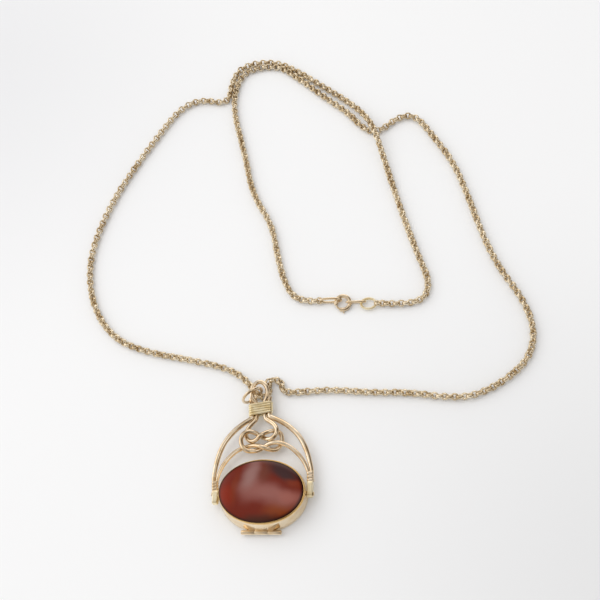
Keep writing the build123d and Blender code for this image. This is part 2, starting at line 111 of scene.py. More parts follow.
LID_RINGS = (
    (0.02 - END_FLARE, 0.02 - SIDE_FLARE, SPLIT_HEIGHT - SPLIT_GAP, 0),
    (-END_FLARE, -SIDE_FLARE, SPLIT_HEIGHT - 0.12, 0),
    (-END_FLARE, -SIDE_FLARE, 0.5, 0),
    (0.03 - END_FLARE, 0.03 - SIDE_FLARE, 0.28, 0),
    (0.11 - END_FLARE, 0.11 - SIDE_FLARE, 0.1, 0),
    (0.25 - END_FLARE, 0.25 - SIDE_FLARE, 0.01, 0),
    (0.4, 0.7, 0.0, 0),
    (0.7, 1.05, 0.0, 0),
    (0.82, 1.18, 0.06, 0),
    (0.86, 1.22, 0.18, 0),
    (0.86, 1.22, 0.95, 0),
    (1.4, 1.75, 0.95, 0),
    (1.4, 1.75, SPLIT_HEIGHT + 0.68, 0),
    (0.92, 1.32, SPLIT_HEIGHT + 0.68, 0),
    (0.92, 1.32, SPLIT_HEIGHT - SPLIT_GAP, 0),
)

# Edge of the bloodstone tablet: how far inside its outline, and height
TABLET_EDGE = ((0.05, 0.93), (0.0, 0.88), (0.0, 0.46), (0.06, 0.36), (0.34, 0.17), (0.44, 0.135), (0.8, 0.12))

# Hinge and pivots, as in the part's source
HINGE_LENGTH = 10.9
HINGE_Y = -9.855
KNUCKLE = 1.35
KNUCKLE_GAP = 0.12
HINGE_PIN = 0.6
TONGUE_THICKNESS = 0.47
PIVOT_HEIGHT = 2.75
PIVOT_PIN = 0.85
PIVOT_BOSS = 0.8
# Riveted head of a pivot: distance along, and radius
PIVOT_HEAD = ((0.0, 0.55), (0.08, 0.625), (0.22, 0.6), (0.33, 0.35), (0.35, 0.0))

# Swivel eyes: the pin stands at one end of each slot, and the floors say how far each eye reaches below it, by side
EYE_X = 12.0
EYE_THICKNESS = 1.45
EYE_DEPTH = 2.2
EYE_CORNER = 0.75
EYE_SLOT_RUN = 0.465
EYE_SLOT_RADIUS = 0.485
EYE_FLOORS = {-1: 1.35, 1: 0.4}

# Frame, as in the part's source
FRAME_LEAN = 5.0
FRAME_X = 0.1
NECK_HEIGHT = 22.5
NECK_ENTRY = 0.6
NECK_EXIT = 0.35
STUB_LENGTH = 1.7
STUB_SPREAD = 0.45
WRAP_TURN = 0.68
WRAP_TURNS = 5
WRAP_TOP = NECK_HEIGHT + WRAP_TURNS * WRAP_TURN
INNER_NECK_X = 1.05
OUTER_NECK_X = 2.295
INNER_WIRE_X = 12.685
OUTER_WIRE_X = 13.4
INNER_END_X = 12.6
INNER_ENTRY_X = 12.7
OUTER_END_X = 13.3
OUTER_ENTRY_X = 13.35
KNOT_HEIGHT = 15.0075
KNOT_WIDTH = 11.4
KNOT_LENGTH = 5.8
TERMINAL_START = 2.29
TERMINAL_TURN = 0.72
TERMINAL_TURNS = 3
TERMINAL_TOP = TERMINAL_START + TERMINAL_TURNS * TERMINAL_TURN
CROSS_RISE = 0.68
WIRE_GAP = 0.12

# Arches: shares of the way out from the neck, and of the way up to it
ARCH_SHAPE = ((1.0, 0.175), (0.903, 0.437), (0.74, 0.644), (0.482, 0.802), (0.267, 0.886), (0.086, 0.941))
# Wires below the knot, in the knot and above it: shares across and up, and how far each place rises or dips
LEG_SHAPE = ((0.787, 0.545, 0.0), (0.329, 1.04, 0.4))
KNOT_SHAPE = (
    (0.825, -0.379, 1.25),
    (0.333, -0.379, 0.2),
    (0.0, -0.69, -1.4),
    (-0.351, -1.0, -0.2),
    (-0.772, -0.966, 1.1),
    (-1.0, -0.207, 1.1),
    (-0.947, 0.655, 1.1),
    (-0.596, 1.0, 1.1),
    (-0.263, 0.793, 0.1),
    (0.0, 0.448, -1.4),
    (0.298, 0.034, 0.0),
    (0.596, 0.069, 0.9),
    (0.825, 0.69, 1.2),
)
KNOT_EXIT_SHAPE = ((0.57, 0.304, 0.6), (0.097, 0.66, 0.0))
# Bail: shares of its half width, its length and its rise
BAIL_SHAPE = ((-1.45, 0.3, 0.75), (-1.3, 0.76, 1.0), (0.0, 1.03, 0.95), (1.3, 0.76, 1.0), (1.45, 0.3, 0.75))
BAIL_WIDTH = 4.5
BAIL_LENGTH = 6.2
BAIL_RISE = 1.25
JUMP_RING_PLACE = (-4.5, WRAP_TOP + 2.1, 3.45)
JUMP_RING = 6.75
JUMP_RING_TURN = 35.0

# Chain route, from the clasp down the right strand to the pendant and back up the left one
CHAIN_Z = 1.12
OVER_Z = 2.85
CHAIN_ROUTE = (
    (12.9, 58.15, CHAIN_Z),
    (7.0, 58.0, CHAIN_Z),
    (2.6, 63.2, CHAIN_Z),
    (-0.6, 74.5, CHAIN_Z),
    (-2.8, 85.2, CHAIN_Z),
    (-9.7, 96.6, CHAIN_Z),
    (-13.2, 112.0, CHAIN_Z),
    (-18.9, 131.7, CHAIN_Z),
    (-17.7, 142.8, CHAIN_Z),
    (-14.0, 147.5, CHAIN_Z),
    (-4.0, 147.9, CHAIN_Z),
    (2.6, 142.0, CHAIN_Z),
    (12.6, 132.4, CHAIN_Z),
    (20.0, 125.8, CHAIN_Z),
    (25.0, 119.0, CHAIN_Z),
    (29.6, 117.4, CHAIN_Z),
    (35.5, 122.9, CHAIN_Z),
    (41.2, 123.4, CHAIN_Z),
    (46.8, 114.5, CHAIN_Z),
    (52.8, 104.0, CHAIN_Z),
    (57.0, 90.5, CHAIN_Z),
    (60.4, 77.8, CHAIN_Z),
    (64.6, 66.6, CHAIN_Z),
    (70.4, 57.0, CHAIN_Z),
    (73.4, 47.2, CHAIN_Z),
    (71.8, 38.8, CHAIN_Z),
    (66.0, 32.6, CHAIN_Z),
    (57.0, 27.4, CHAIN_Z),
    (49.0, 27.1, CHAIN_Z),
    (38.5, 28.9, CHAIN_Z),
    (28.0, 29.0, CHAIN_Z),
    (17.5, 30.2, CHAIN_Z),
    (6.8, 29.5, CHAIN_Z),
    (3.5, 29.9, CHAIN_Z),
    (2.9, 33.1, CHAIN_Z),
    (0.6, 33.6, CHAIN_Z),
    (-0.9, 33.1, CHAIN_Z),
    (-0.4, 31.5, 1.15),
    (-0.3, 29.0, 1.4),
    (-1.6, 27.8, 1.85),
    (-3.35, 28.5, 2.35),
    (-7.0, 33.5, 1.6),
    (-12.6, 37.4, CHAIN_Z),
    (-24.5, 40.5, CHAIN_Z),
    (-38.0, 43.4, CHAIN_Z),
    (-48.0, 47.8, CHAIN_Z),
    (-55.6, 57.0, CHAIN_Z),
    (-59.6, 69.5, CHAIN_Z),
    (-59.7, 81.5, CHAIN_Z),
    (-55.8, 96.5, CHAIN_Z),
    (-49.8, 109.8, CHAIN_Z),
    (-42.8, 122.8, CHAIN_Z),
    (-36.6, 133.0, CHAIN_Z),
    (-29.5, 136.0, CHAIN_Z),
    (-20.3, 133.0, CHAIN_Z),
    (-19.8, 142.4, CHAIN_Z),
    (-17.3, 148.3, CHAIN_Z),
    (-9.7, 150.2, CHAIN_Z),
    (-1.7, 148.1, CHAIN_Z),
    (9.6, 138.9, CHAIN_Z),
    (20.6, 129.8, CHAIN_Z),
    (26.4, 122.0, OVER_Z),
    (29.1, 115.6, OVER_Z),
    (32.6, 102.5, CHAIN_Z),
    (36.6, 88.0, CHAIN_Z),
    (41.2, 73.0, CHAIN_Z),
    (44.9, 63.0, CHAIN_Z),
    (43.2, 57.2, CHAIN_Z),
    (36.6, 56.0, CHAIN_Z),
    (29.9, 56.7, CHAIN_Z),
)

# Clasp, placed as in the part's source. The tag's band and the small links follow the photo more closely.
TAG_PLACE = (27.2, 56.75, 0.6)
TAG_LENGTH = 4.9
TAG_WIDTH = 3.9
TAG_BAND = 0.62
TAG_THICKNESS = 0.5
TAG_EDGE = ((0.0, 0.12), (0.03, 0.04), (0.12, 0.0))
LINK_HEIGHT = 1.28
# Small links: side, place, length, width, wire, and lean in degrees
CLASP_LINKS = (("left", (16.15, 58.05), 6.9, 2.6, 0.7, 84.0), ("right", (23.6, 57.25), 6.1, 2.6, 0.56, 110.0))

# Stage: the camera's place in metres, its right, up and back axes, its lens and sensor in millimetres, and the floor
CAMERA_PLACE = (0.04973, -0.14689, 0.25542)
CAMERA_AXES = ((0.98496, 0.04501, -0.16680), (0.03800, 0.88538, 0.46331), (0.16854, -0.46268, 0.87036))
CAMERA_LENS = 60
CAMERA_SENSOR = 36
FLOOR_HALF = 1.5

# Panels of the room that the gloss reflects: direction, where each begins, brightness and tint
ROOM_PANELS = (
    ((-0.9, 0.2, 0.32), 0.72, 1.2, "fffcf7"),
    ((0.6, -0.1, 0.8), 0.9, 1.1, "fffcf7"),
    ((0.08, 0.96, 0.24), 0.8, 1.7, "fffcf8"),
    ((-0.35, 0.3, 0.88), 0.6, 0.6, "ffffff"),
    ((-0.5, -0.8, 0.35), 0.6, 0.55, "fffaf2"),
)
# Dim warm light between the panels, and the even light that everything but the gloss gets
ROOM_TINT = (0.115, 0.08, 0.05)
FILL_STRENGTH = 0.73
# Key light: place and target in metres, width in metres and power in watts
KEY_PLACE = (-0.55, 0.2, 0.85)
KEY_TARGET = (0.0, -0.02, 0.0)
KEY_SIZE = 1.2
KEY_POWER = 5.6

# Gold finishes: the material's name, its colour below, the tone of its wear, roughness and depth of marks
GOLDS = {
    "wire": ("drawn_gold_wire", "wire_gold", "e0c6a0", 0.16, 0.1),
    "bezel": ("rubbed_bezel_gold", "bezel_gold", "dcb473", 0.2, 0.1),
    "binding": ("bound_gold_wire", "binding_gold", "eedaa8", 0.34, 0.15),
    "case": ("polished_gold_plate", "case_gold", "ead2ab", 0.18, 0.08),
    "chain": ("worn_belcher_gold", "chain_gold", "ccb48c", 0.24, 0.2),
}

# Clouds in the carnelian: colour, place in shares of the half length and half width, reach, turn in degrees, strength.
# The pale milky clouds (8a544c, 905a52, 995b50, 95706a) are a painted reflection of the room, and the bright red and
# orange clouds (701a03, 862202, 7d3817, 762c17) are a painted glow of light through the stone; the rest tint the body.
STONE_CLOUDS_AND_PAINTED_LIGHT = (
    ("701a03", (-0.88, -0.08), (0.46, 0.95), 0.0, 1.0),
    ("7b3213", (-0.56, 0.05), (0.16, 0.9), -6.0, 0.55),
    ("862202", (-0.77, -0.2), (0.3, 0.6), 0.0, 0.7),
    ("7d3817", (0.48, -0.6), (0.66, 0.5), 12.0, 1.0),
    ("8a544c", (-0.2, 0.1), (0.36, 0.85), -22.0, 0.6),
    ("905a52", (0.22, -0.12), (1.0, 0.56), -14.0, 0.95),
    ("995b50", (0.68, -0.14), (0.5, 0.36), 0.0, 0.85),
    ("683729", (0.08, 0.6), (0.3, 0.6), 0.0, 0.7),
    ("95706a", (-0.24, 0.5), (0.28, 0.78), -12.0, 0.8),
    ("3c2222", (0.5, 0.68), (0.7, 0.46), -22.0, 1.0),
    ("3c2424", (0.62, 0.5), (0.36, 0.28), -26.0, 0.9),
    ("762c17", (0.78, 0.26), (0.36, 0.2), -18.0, 1.0),
    ("46261c", (0.0, -0.98), (1.1, 0.34), 0.0, 0.95),
)
# Painted shade where the stone's thin edge meets its bezel
STONE_EDGE_SHADE = "30130f"

# Patches of painted shade on the paper, towards two corners: place in metres, reach and tint
PAPER_SHADE_PATCHES = (((-0.14, 0.09, 0.0), 0.15, "dedee0"), ((0.1, -0.1, 0.0), 0.13, "dddddd"))

# Sockets of a Mix node that is set to colours, where several share a name
MIX_SHARE = 0
MIX_UNDER = 6
MIX_OVER = 7
MIX_RESULT = 2


def linear(colour):
    """Linear colour with alpha from an sRGB hex value such as 'e8c896'."""
    shares = [int(colour[i : i + 2], 16) / 255 for i in (0, 2, 4)]
    return [c / 12.92 if c <= 0.04045 else ((c + 0.055) / 1.055) ** 2.4 for c in shares] + [1.0]


def spot(x, y, z):
    """Place in the frame, in metres, from one in millimetres from the case's centre."""
    return Vector((CENTRE.x + x * MM, CENTRE.y + y * MM, z * MM))


def wire_spot(x, y, z):
    """Place in the frame from one in the wire frame's own leaning plane."""
    lean = math.radians(FRAME_LEAN)
    return spot(
        FRAME_X + x * math.cos(lean) - y * math.sin(lean),
        x * math.sin(lean) + y * math.cos(lean),
        PIVOT_HEIGHT + z,
    )


def way(start, end, share):
    """Length part of the way from one size to another."""
    return start + share * (end - start)


def round_angles(count):
    """Evenly spaced angles, once round."""
    return [2 * math.pi * i / count for i in range(count)]


def sign(value):
    """1 or -1, or 0 for a value that is next to nothing."""
    return math.copysign(1, value) if abs(value) > 1e-6 else 0.0


def add_node(tree, kind, inputs=None, **settings):
    """Add one node, make its settings, and set or link its inputs."""
    node = tree.nodes.new(kind)
    for key, value in settings.items():
        setattr(node, key, value)
    for key, value in (inputs or {}).items():
        if isinstance(value, bpy.types.NodeSocket):
            tree.links.new(value, node.inputs[key])
        else:
            node.inputs[key].default_value = value
    return node


class FobSizes(bpy.types.PropertyGroup):
    """Sizes of the wires and links."""

    link_length: FloatProperty(
        name="Link length", description="Outside length of a chain link", default=2.37 * MM, min=0.001, unit="LENGTH"
    )
    link_width: FloatProperty(
        name="Link width", description="Outside width of a chain link", default=2.2 * MM, min=0.001, unit="LENGTH"
    )
    link_wire: FloatProperty(
        name="Link wire",
        description="Thickness of a link, square to its hole",
        default=0.51 * MM,
        min=0.0001,
        unit="LENGTH",
    )
    link_band: FloatProperty(
        name="Link band", description="Breadth of a link, along its hole", default=0.95 * MM, min=0.0001, unit="LENGTH"
    )
    link_roll: FloatProperty(
        name="Link roll", description="Most that a link is rolled from its neighbours", default=0.24, subtype="ANGLE"
    )
    outer_wire: FloatProperty(
        name="Outer wire", description="Diameter of the outer arches", default=1.42 * MM, min=0.0002, unit="LENGTH"
    )
    knot_wire: FloatProperty(
        name="Knot wire", description="Diameter of the knotted wires", default=1.26 * MM, min=0.0002, unit="LENGTH"
    )
    bail_wire: FloatProperty(
        name="Bail wire", description="Diameter of the bail", default=1.25 * MM, min=0.0002, unit="LENGTH"
    )
    jump_ring_wire: FloatProperty(
        name="Jump ring wire",
        description="Diameter of the jump ring's wire",
        default=0.85 * MM,
        min=0.0002,
        unit="LENGTH",
    )
    wrap_turns: IntProperty(
        name="Wrap turns", description="Turns of wire that bind the neck", default=WRAP_TURNS, min=2, max=9
    )


class FobColours(bpy.types.PropertyGroup):
    """Colours of the metals, the stones and the stage."""

    wire_gold: FloatVectorProperty(
        name="Wire gold", description="Drawn wire of the frame", subtype="COLOR", size=4, default=linear("f5e5cc")
    )
    binding_gold: FloatVectorProperty(
        name="Binding gold", description="Wound wire and swivel eyes", subtype="COLOR", size=4, default=linear("fff6d8")
    )
    bezel_gold: FloatVectorProperty(
        name="Bezel gold",
        description="Lip rubbed over the front stone",
        subtype="COLOR",
        size=4,
        default=linear("ecc98c"),
    )
    case_gold: FloatVectorProperty(
        name="Case gold", description="Case, lid and clasp", subtype="COLOR", size=4, default=linear("f3e2c6")
    )
    chain_gold: FloatVectorProperty(
        name="Chain gold", description="Links of the chain", subtype="COLOR", size=4, default=linear("f9ecd2")
    )
    carnelian: FloatVectorProperty(
        name="Carnelian",
        description="Body colour of the front stone",
        subtype="COLOR",
        size=4,
        default=linear("6a1e0d"),
    )
    bloodstone: FloatVectorProperty(
        name="Bloodstone",
        description="Body colour of the back stone",
        subtype="COLOR",
        size=4,
        default=linear("1d3a2c"),
    )
    paper: FloatVectorProperty(
        name="Paper", description="Sheet that the pendant lies on", subtype="COLOR", size=4, default=linear("f5f5f5")
    )


def start_material(name):
    """New material with its tree emptied but for the output and one shader."""
    material = bpy.data.materials.new(name)
    material.use_nodes = True
    tree = material.node_tree
    tree.nodes.clear()
    shader = add_node(tree, "ShaderNodeBsdfPrincipled")
    add_node(tree, "ShaderNodeOutputMaterial", {"Surface": shader.outputs["BSDF"]})
    place = add_node(tree, "ShaderNodeTexCoord").outputs["Object"]
    return material, tree, shader, place


def gold_material(name, colour, tarnish, roughness, scratch):
    """Nine carat gold, drawn, rubbed or polished: wear clouds 2 mm across warm it, and handling has broken its gloss.

    The real handling marks are finer. They are drawn 0.2 mm across so that they show.
    """
    material, tree, shader, place = start_material(name)
    clouds = add_node(tree, "ShaderNodeTexNoise", {"Vector": place, "Scale": 450.0, "Detail": 3.0, "Roughness": 0.55})
    tone = add_node(tree, "ShaderNodeValToRGB", {"Fac": clouds.outputs["Fac"]})
    tone.color_ramp.elements[0].position = 0.33
    tone.color_ramp.elements[0].color = linear(tarnish)
    tone.color_ramp.elements[1].position = 0.6
    tone.color_ramp.elements[1].color = colour
    marks = add_node(tree, "ShaderNodeTexNoise", {"Vector": place, "Scale": 5200.0, "Detail": 4.0, "Roughness": 0.6})
    span = {"From Min": 0.3, "From Max": 0.7, "To Min": roughness * 0.75, "To Max": roughness * 1.35}
    gloss = add_node(tree, "ShaderNodeMapRange", {"Value": marks.outputs["Fac"], **span})
    bump = add_node(tree, "ShaderNodeBump", {"Height": marks.outputs["Fac"], "Strength": scratch, "Distance": 0.00002})
    tree.links.new(tone.outputs["Color"], shader.inputs["Base Color"])
    tree.links.new(gloss.outputs["Result"], shader.inputs["Roughness"])
    tree.links.new(bump.outputs["Normal"], shader.inputs["Normal"])
    shader.inputs["Metallic"].default_value = 1.0
    return material


def carnelian_material(colour):
    """Carnelian, chalcedony coloured by iron: a glassy polish over soft clouds and dark patches, a milky streak that is
    a painted reflection, and bright red and orange clouds that are a painted glow of light through the stone.

    The clouds' edges drift by up to 2 mm, and painted shade darkens the stone in the last millimetre before its bezel.
    """
    material, tree, shader, place = start_material("polished_carnelian")
    half_length = RIM_LENGTH * MM / 2
    half_width = RIM_WIDTH * MM / 2
    drift = add_node(tree, "ShaderNodeTexNoise", {"Vector": place, "Scale": 120.0, "Detail": 2.0})
    shift = add_node(
        tree, "ShaderNodeVectorMath", {0: drift.outputs["Color"], 1: (0.5, 0.5, 0.5)}, operation="SUBTRACT"
    )
    shift = add_node(tree, "ShaderNodeVectorMath", {0: shift.outputs[0], "Scale": 0.004}, operation="SCALE")
    moved = add_node(tree, "ShaderNodeVectorMath", {0: place, 1: shift.outputs[0]}, operation="ADD")
    current = colour
    # Each cloud blends in its tint: the stone's own clouds, the painted reflection and the painted glow alike
    for tint, (u, v), (ru, rv), turn, strength in STONE_CLOUDS_AND_PAINTED_LIGHT:
        centre = Vector((CENTRE.x + u * half_length, CENTRE.y + v * half_width, 0.0))
        offset = add_node(tree, "ShaderNodeVectorMath", {0: moved.outputs[0], 1: centre}, operation="SUBTRACT")
        turned = add_node(
            tree,
            "ShaderNodeVectorRotate",
            {"Vector": offset.outputs[0], "Angle": math.radians(-turn)},
            rotation_type="Z_AXIS",
        )
        scaled = add_node(
            tree,
            "ShaderNodeVectorMath",
            {0: turned.outputs[0], 1: (1 / (ru * half_length), 1 / (rv * half_width), 0.0)},
            operation="MULTIPLY",
        )
        ball = add_node(tree, "ShaderNodeTexGradient", {"Vector": scaled.outputs[0]}, gradient_type="SPHERICAL")
        soft = add_node(
            tree,
            "ShaderNodeMapRange",
            {"Value": ball.outputs["Fac"], "From Max": 0.95, "To Max": strength},
            interpolation_type="SMOOTHERSTEP",
        )
        sockets = {MIX_SHARE: soft.outputs["Result"], MIX_UNDER: current, MIX_OVER: linear(tint)}
        current = add_node(tree, "ShaderNodeMix", sockets, data_type="RGBA").outputs[MIX_RESULT]
    # Painted shade: the stone darkens over its last share before the bezel
    flat = add_node(tree, "ShaderNodeVectorMath", {0: place, 1: CENTRE}, operation="SUBTRACT")
    per_half = (2 / (STONE_LENGTH * MM), 2 / (STONE_WIDTH * MM), 0.0)
    shares = add_node(tree, "ShaderNodeVectorMath", {0: flat.outputs[0], 1: per_half}, operation="MULTIPLY")
    reach = add_node(tree, "ShaderNodeVectorMath", {0: shares.outputs[0]}, operation="LENGTH")
    rim = add_node(tree, "ShaderNodeMapRange", {"Value": reach.outputs["Value"], "From Min": 0.925, "From Max": 0.99})
    sockets = {MIX_SHARE: rim.outputs["Result"], MIX_UNDER: current, MIX_OVER: linear(STONE_EDGE_SHADE)}
    edge = add_node(tree, "ShaderNodeMix", sockets, data_type="RGBA")
    tree.links.new(edge.outputs[MIX_RESULT], shader.inputs["Base Color"])
    # Weaker than the mineral's own gloss, because the photo's stone mirrors no sharp lamp
    shader.inputs["Specular IOR Level"].default_value = 0.22
    shader.inputs["Roughness"].default_value = 0.12
    shader.inputs["IOR"].default_value = 1.54
    return material


def bloodstone_material(colour):
    """Bloodstone, dark green jasper: clouded body with specks of red iron oxide 0.3 to 1 mm across."""
    material, tree, shader, place = start_material("polished_bloodstone")
    body = add_node(tree, "ShaderNodeTexNoise", {"Vector": place, "Scale": 260.0, "Detail": 6.0, "Roughness": 0.62})
    tone = add_node(tree, "ShaderNodeValToRGB", {"Fac": body.outputs["Fac"]})
    tone.color_ramp.elements[0].position = 0.35
    tone.color_ramp.elements[0].color = linear("0d1f18")
    tone.color_ramp.elements[1].position = 0.68
    tone.color_ramp.elements[1].color = colour
    spread = add_node(tree, "ShaderNodeTexNoise", {"Vector": place, "Scale": 1400.0, "Detail": 3.0})
    bent = add_node(tree, "ShaderNodeVectorMath", {0: spread.outputs["Color"], "Scale": 0.0006}, operation="SCALE")
    near = add_node(tree, "ShaderNodeVectorMath", {0: place, 1: bent.outputs[0]}, operation="ADD")
    cells = add_node(tree, "ShaderNodeTexVoronoi", {"Vector": near.outputs[0], "Scale": 620.0, "Randomness": 1.0})
    speck = add_node(
        tree,
        "ShaderNodeMapRange",
        {"Value": cells.outputs["Distance"], "From Min": 0.2, "From Max": 0.3, "To Min": 1.0, "To Max": 0.0},
    )
    groups = add_node(tree, "ShaderNodeTexNoise", {"Vector": place, "Scale": 170.0, "Detail": 2.0})
    where = add_node(tree, "ShaderNodeMapRange", {"Value": groups.outputs["Fac"], "From Min": 0.48, "From Max": 0.56})
    both = add_node(
        tree, "ShaderNodeMath", {0: speck.outputs["Result"], 1: where.outputs["Result"]}, operation="MULTIPLY"
    )
    sockets = {MIX_SHARE: both.outputs[0], MIX_UNDER: tone.outputs["Color"], MIX_OVER: linear("8c1c14")}
    mix = add_node(tree, "ShaderNodeMix", sockets, data_type="RGBA")
    tree.links.new(mix.outputs[MIX_RESULT], shader.inputs["Base Color"])
    shader.inputs["Roughness"].default_value = 0.14
    shader.inputs["IOR"].default_value = 1.54
    return material


def paper_material(colour):
    """Matt drawing paper: a grain of 0.4 mm, drawn faint, and two patches of painted shade that darken it towards two
    corners.
    """
    material, tree, shader, place = start_material("matt_paper")
    grain = add_node(tree, "ShaderNodeTexNoise", {"Vector": place, "Scale": 2500.0, "Detail": 3.0})
    bump = add_node(tree, "ShaderNodeBump", {"Height": grain.outputs["Fac"], "Strength": 0.05, "Distance": 0.0001})
    current = colour
    # Each patch is painted shade that darkens the paper towards its place
    for corner, reach, tint in PAPER_SHADE_PATCHES:
        away = add_node(tree, "ShaderNodeVectorMath", {0: place, 1: corner}, operation="DISTANCE")
        near = add_node(
            tree,
            "ShaderNodeMapRange",
            {"Value": away.outputs["Value"], "From Max": reach, "To Min": 0.62, "To Max": 0.0},
            interpolation_type="SMOOTHSTEP",
        )
        sockets = {MIX_SHARE: near.outputs["Result"], MIX_UNDER: current, MIX_OVER: linear(tint)}
        current = add_node(tree, "ShaderNodeMix", sockets, data_type="RGBA").outputs[MIX_RESULT]
    tree.links.new(current, shader.inputs["Base Color"])
    tree.links.new(bump.outputs["Normal"], shader.inputs["Normal"])
    shader.inputs["Roughness"].default_value = 0.9
    return material


MATERIALS = {}


def material(finish):
    """One of this object's finishes, made when it is first asked for."""
    if finish not in MATERIALS:
        colours = bpy.context.scene.fob_colours
        if finish in GOLDS:
            name, colour, tarnish, roughness, scratch = GOLDS[finish]
            MATERIALS[finish] = gold_material(name, getattr(colours, colour), tarnish, roughness, scratch)
        elif finish == "carnelian":
            MATERIALS[finish] = carnelian_material(colours.carnelian)
        elif finish == "bloodstone":
            MATERIALS[finish] = bloodstone_material(colours.bloodstone)
        else:
            MATERIALS[finish] = paper_material(colours.paper)
    return MATERIALS[finish]


def place_piece(name, mesh, finish, body, nodes):
    """Object at the origin for a mesh, with its finish, its body and the nodes it stands for."""
    piece = bpy.data.objects.new(name, mesh)
    bpy.context.scene.collection.objects.link(piece)
    mesh.materials.clear()
    mesh.materials.append(material(finish))
    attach(piece, body)
    if nodes:
        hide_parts(*nodes)
    return piece


def smooth(mesh):
    """Shade every face of a mesh smooth."""
    mesh.polygons.foreach_set("use_smooth", [True] * len(mesh.polygons))
    mesh.update()
    return mesh


def route_curve(name, points, closed=False, taper=(), kind="NURBS"):
    """Curve object with these places as its control points, thinned at each end by the taper's shares.

    NURBS, the usual kind, is smooth, and POLY runs straight.
    """
    curve = bpy.data.curves.new(name, "CURVE")
    curve.dimensions = "3D"
    curve.resolution_u = 10
    spline = curve.splines.new(kind)
    spline.points.add(len(points) - 1)
    for knot, point in zip(spline.points, points):
        knot.co = (*point, 1.0)
    for i, share in enumerate(taper):
        spline.points[i].radius = share
    spline.use_cyclic_u = closed
    spline.order_u = 3
    spline.use_endpoint_u = not closed
    route = bpy.data.objects.new(name, curve)
    bpy.context.scene.collection.objects.link(route)
    return route


def evaluated_mesh(source, name):
    """Plain mesh of an object as its modifiers leave it, after which the source is removed."""
    graph = bpy.context.evaluated_depsgraph_get()
    mesh = bpy.data.meshes.new_from_object(source.evaluated_get(graph))
    mesh.name = name
    bpy.data.objects.remove(source)
    return mesh


def wire_mesh(name, points, diameter, closed=False, taper=()):
    """Round wire with closed ends along a smooth curve."""
    route = route_curve(name, points, closed, taper)
    route.data.bevel_depth = diameter / 2
    route.data.bevel_resolution = 4
    route.data.use_fill_caps = not closed
    return smooth(evaluated_mesh(route, name))


def new_tree(name, inputs):
    """Geometry Nodes tree with named inputs after its geometry."""
    tree = bpy.data.node_groups.new(name, "GeometryNodeTree")
    tree.is_modifier = True
    tree.interface.new_socket("Geometry", in_out="INPUT", socket_type="NodeSocketGeometry")
    for label, kind in inputs:
        tree.interface.new_socket(label, in_out="INPUT", socket_type=kind)
    tree.interface.new_socket("Geometry", in_out="OUTPUT", socket_type="NodeSocketGeometry")
    return tree, add_node(tree, "NodeGroupInput").outputs


def use_tree(piece, tree, values):
    """Modifier that runs a tree on a piece, with its inputs set by their identifiers."""
    modifier = piece.modifiers.new(tree.name, "NODES")
    modifier.node_group = tree
    for item in tree.interface.items_tree:
        if item.in_out == "INPUT" and item.name in values:
            modifier[item.identifier] = values[item.name]


def end_tree(tree, instances, finish):
    """Realize the instances, give them their material and end the tree."""
    real = add_node(tree, "GeometryNodeRealizeInstances", {"Geometry": instances})
    painted = add_node(tree, "GeometryNodeSetMaterial", {"Geometry": real.outputs[0], "Material": finish})
    add_node(tree, "NodeGroupOutput", {"Geometry": painted.outputs[0]})


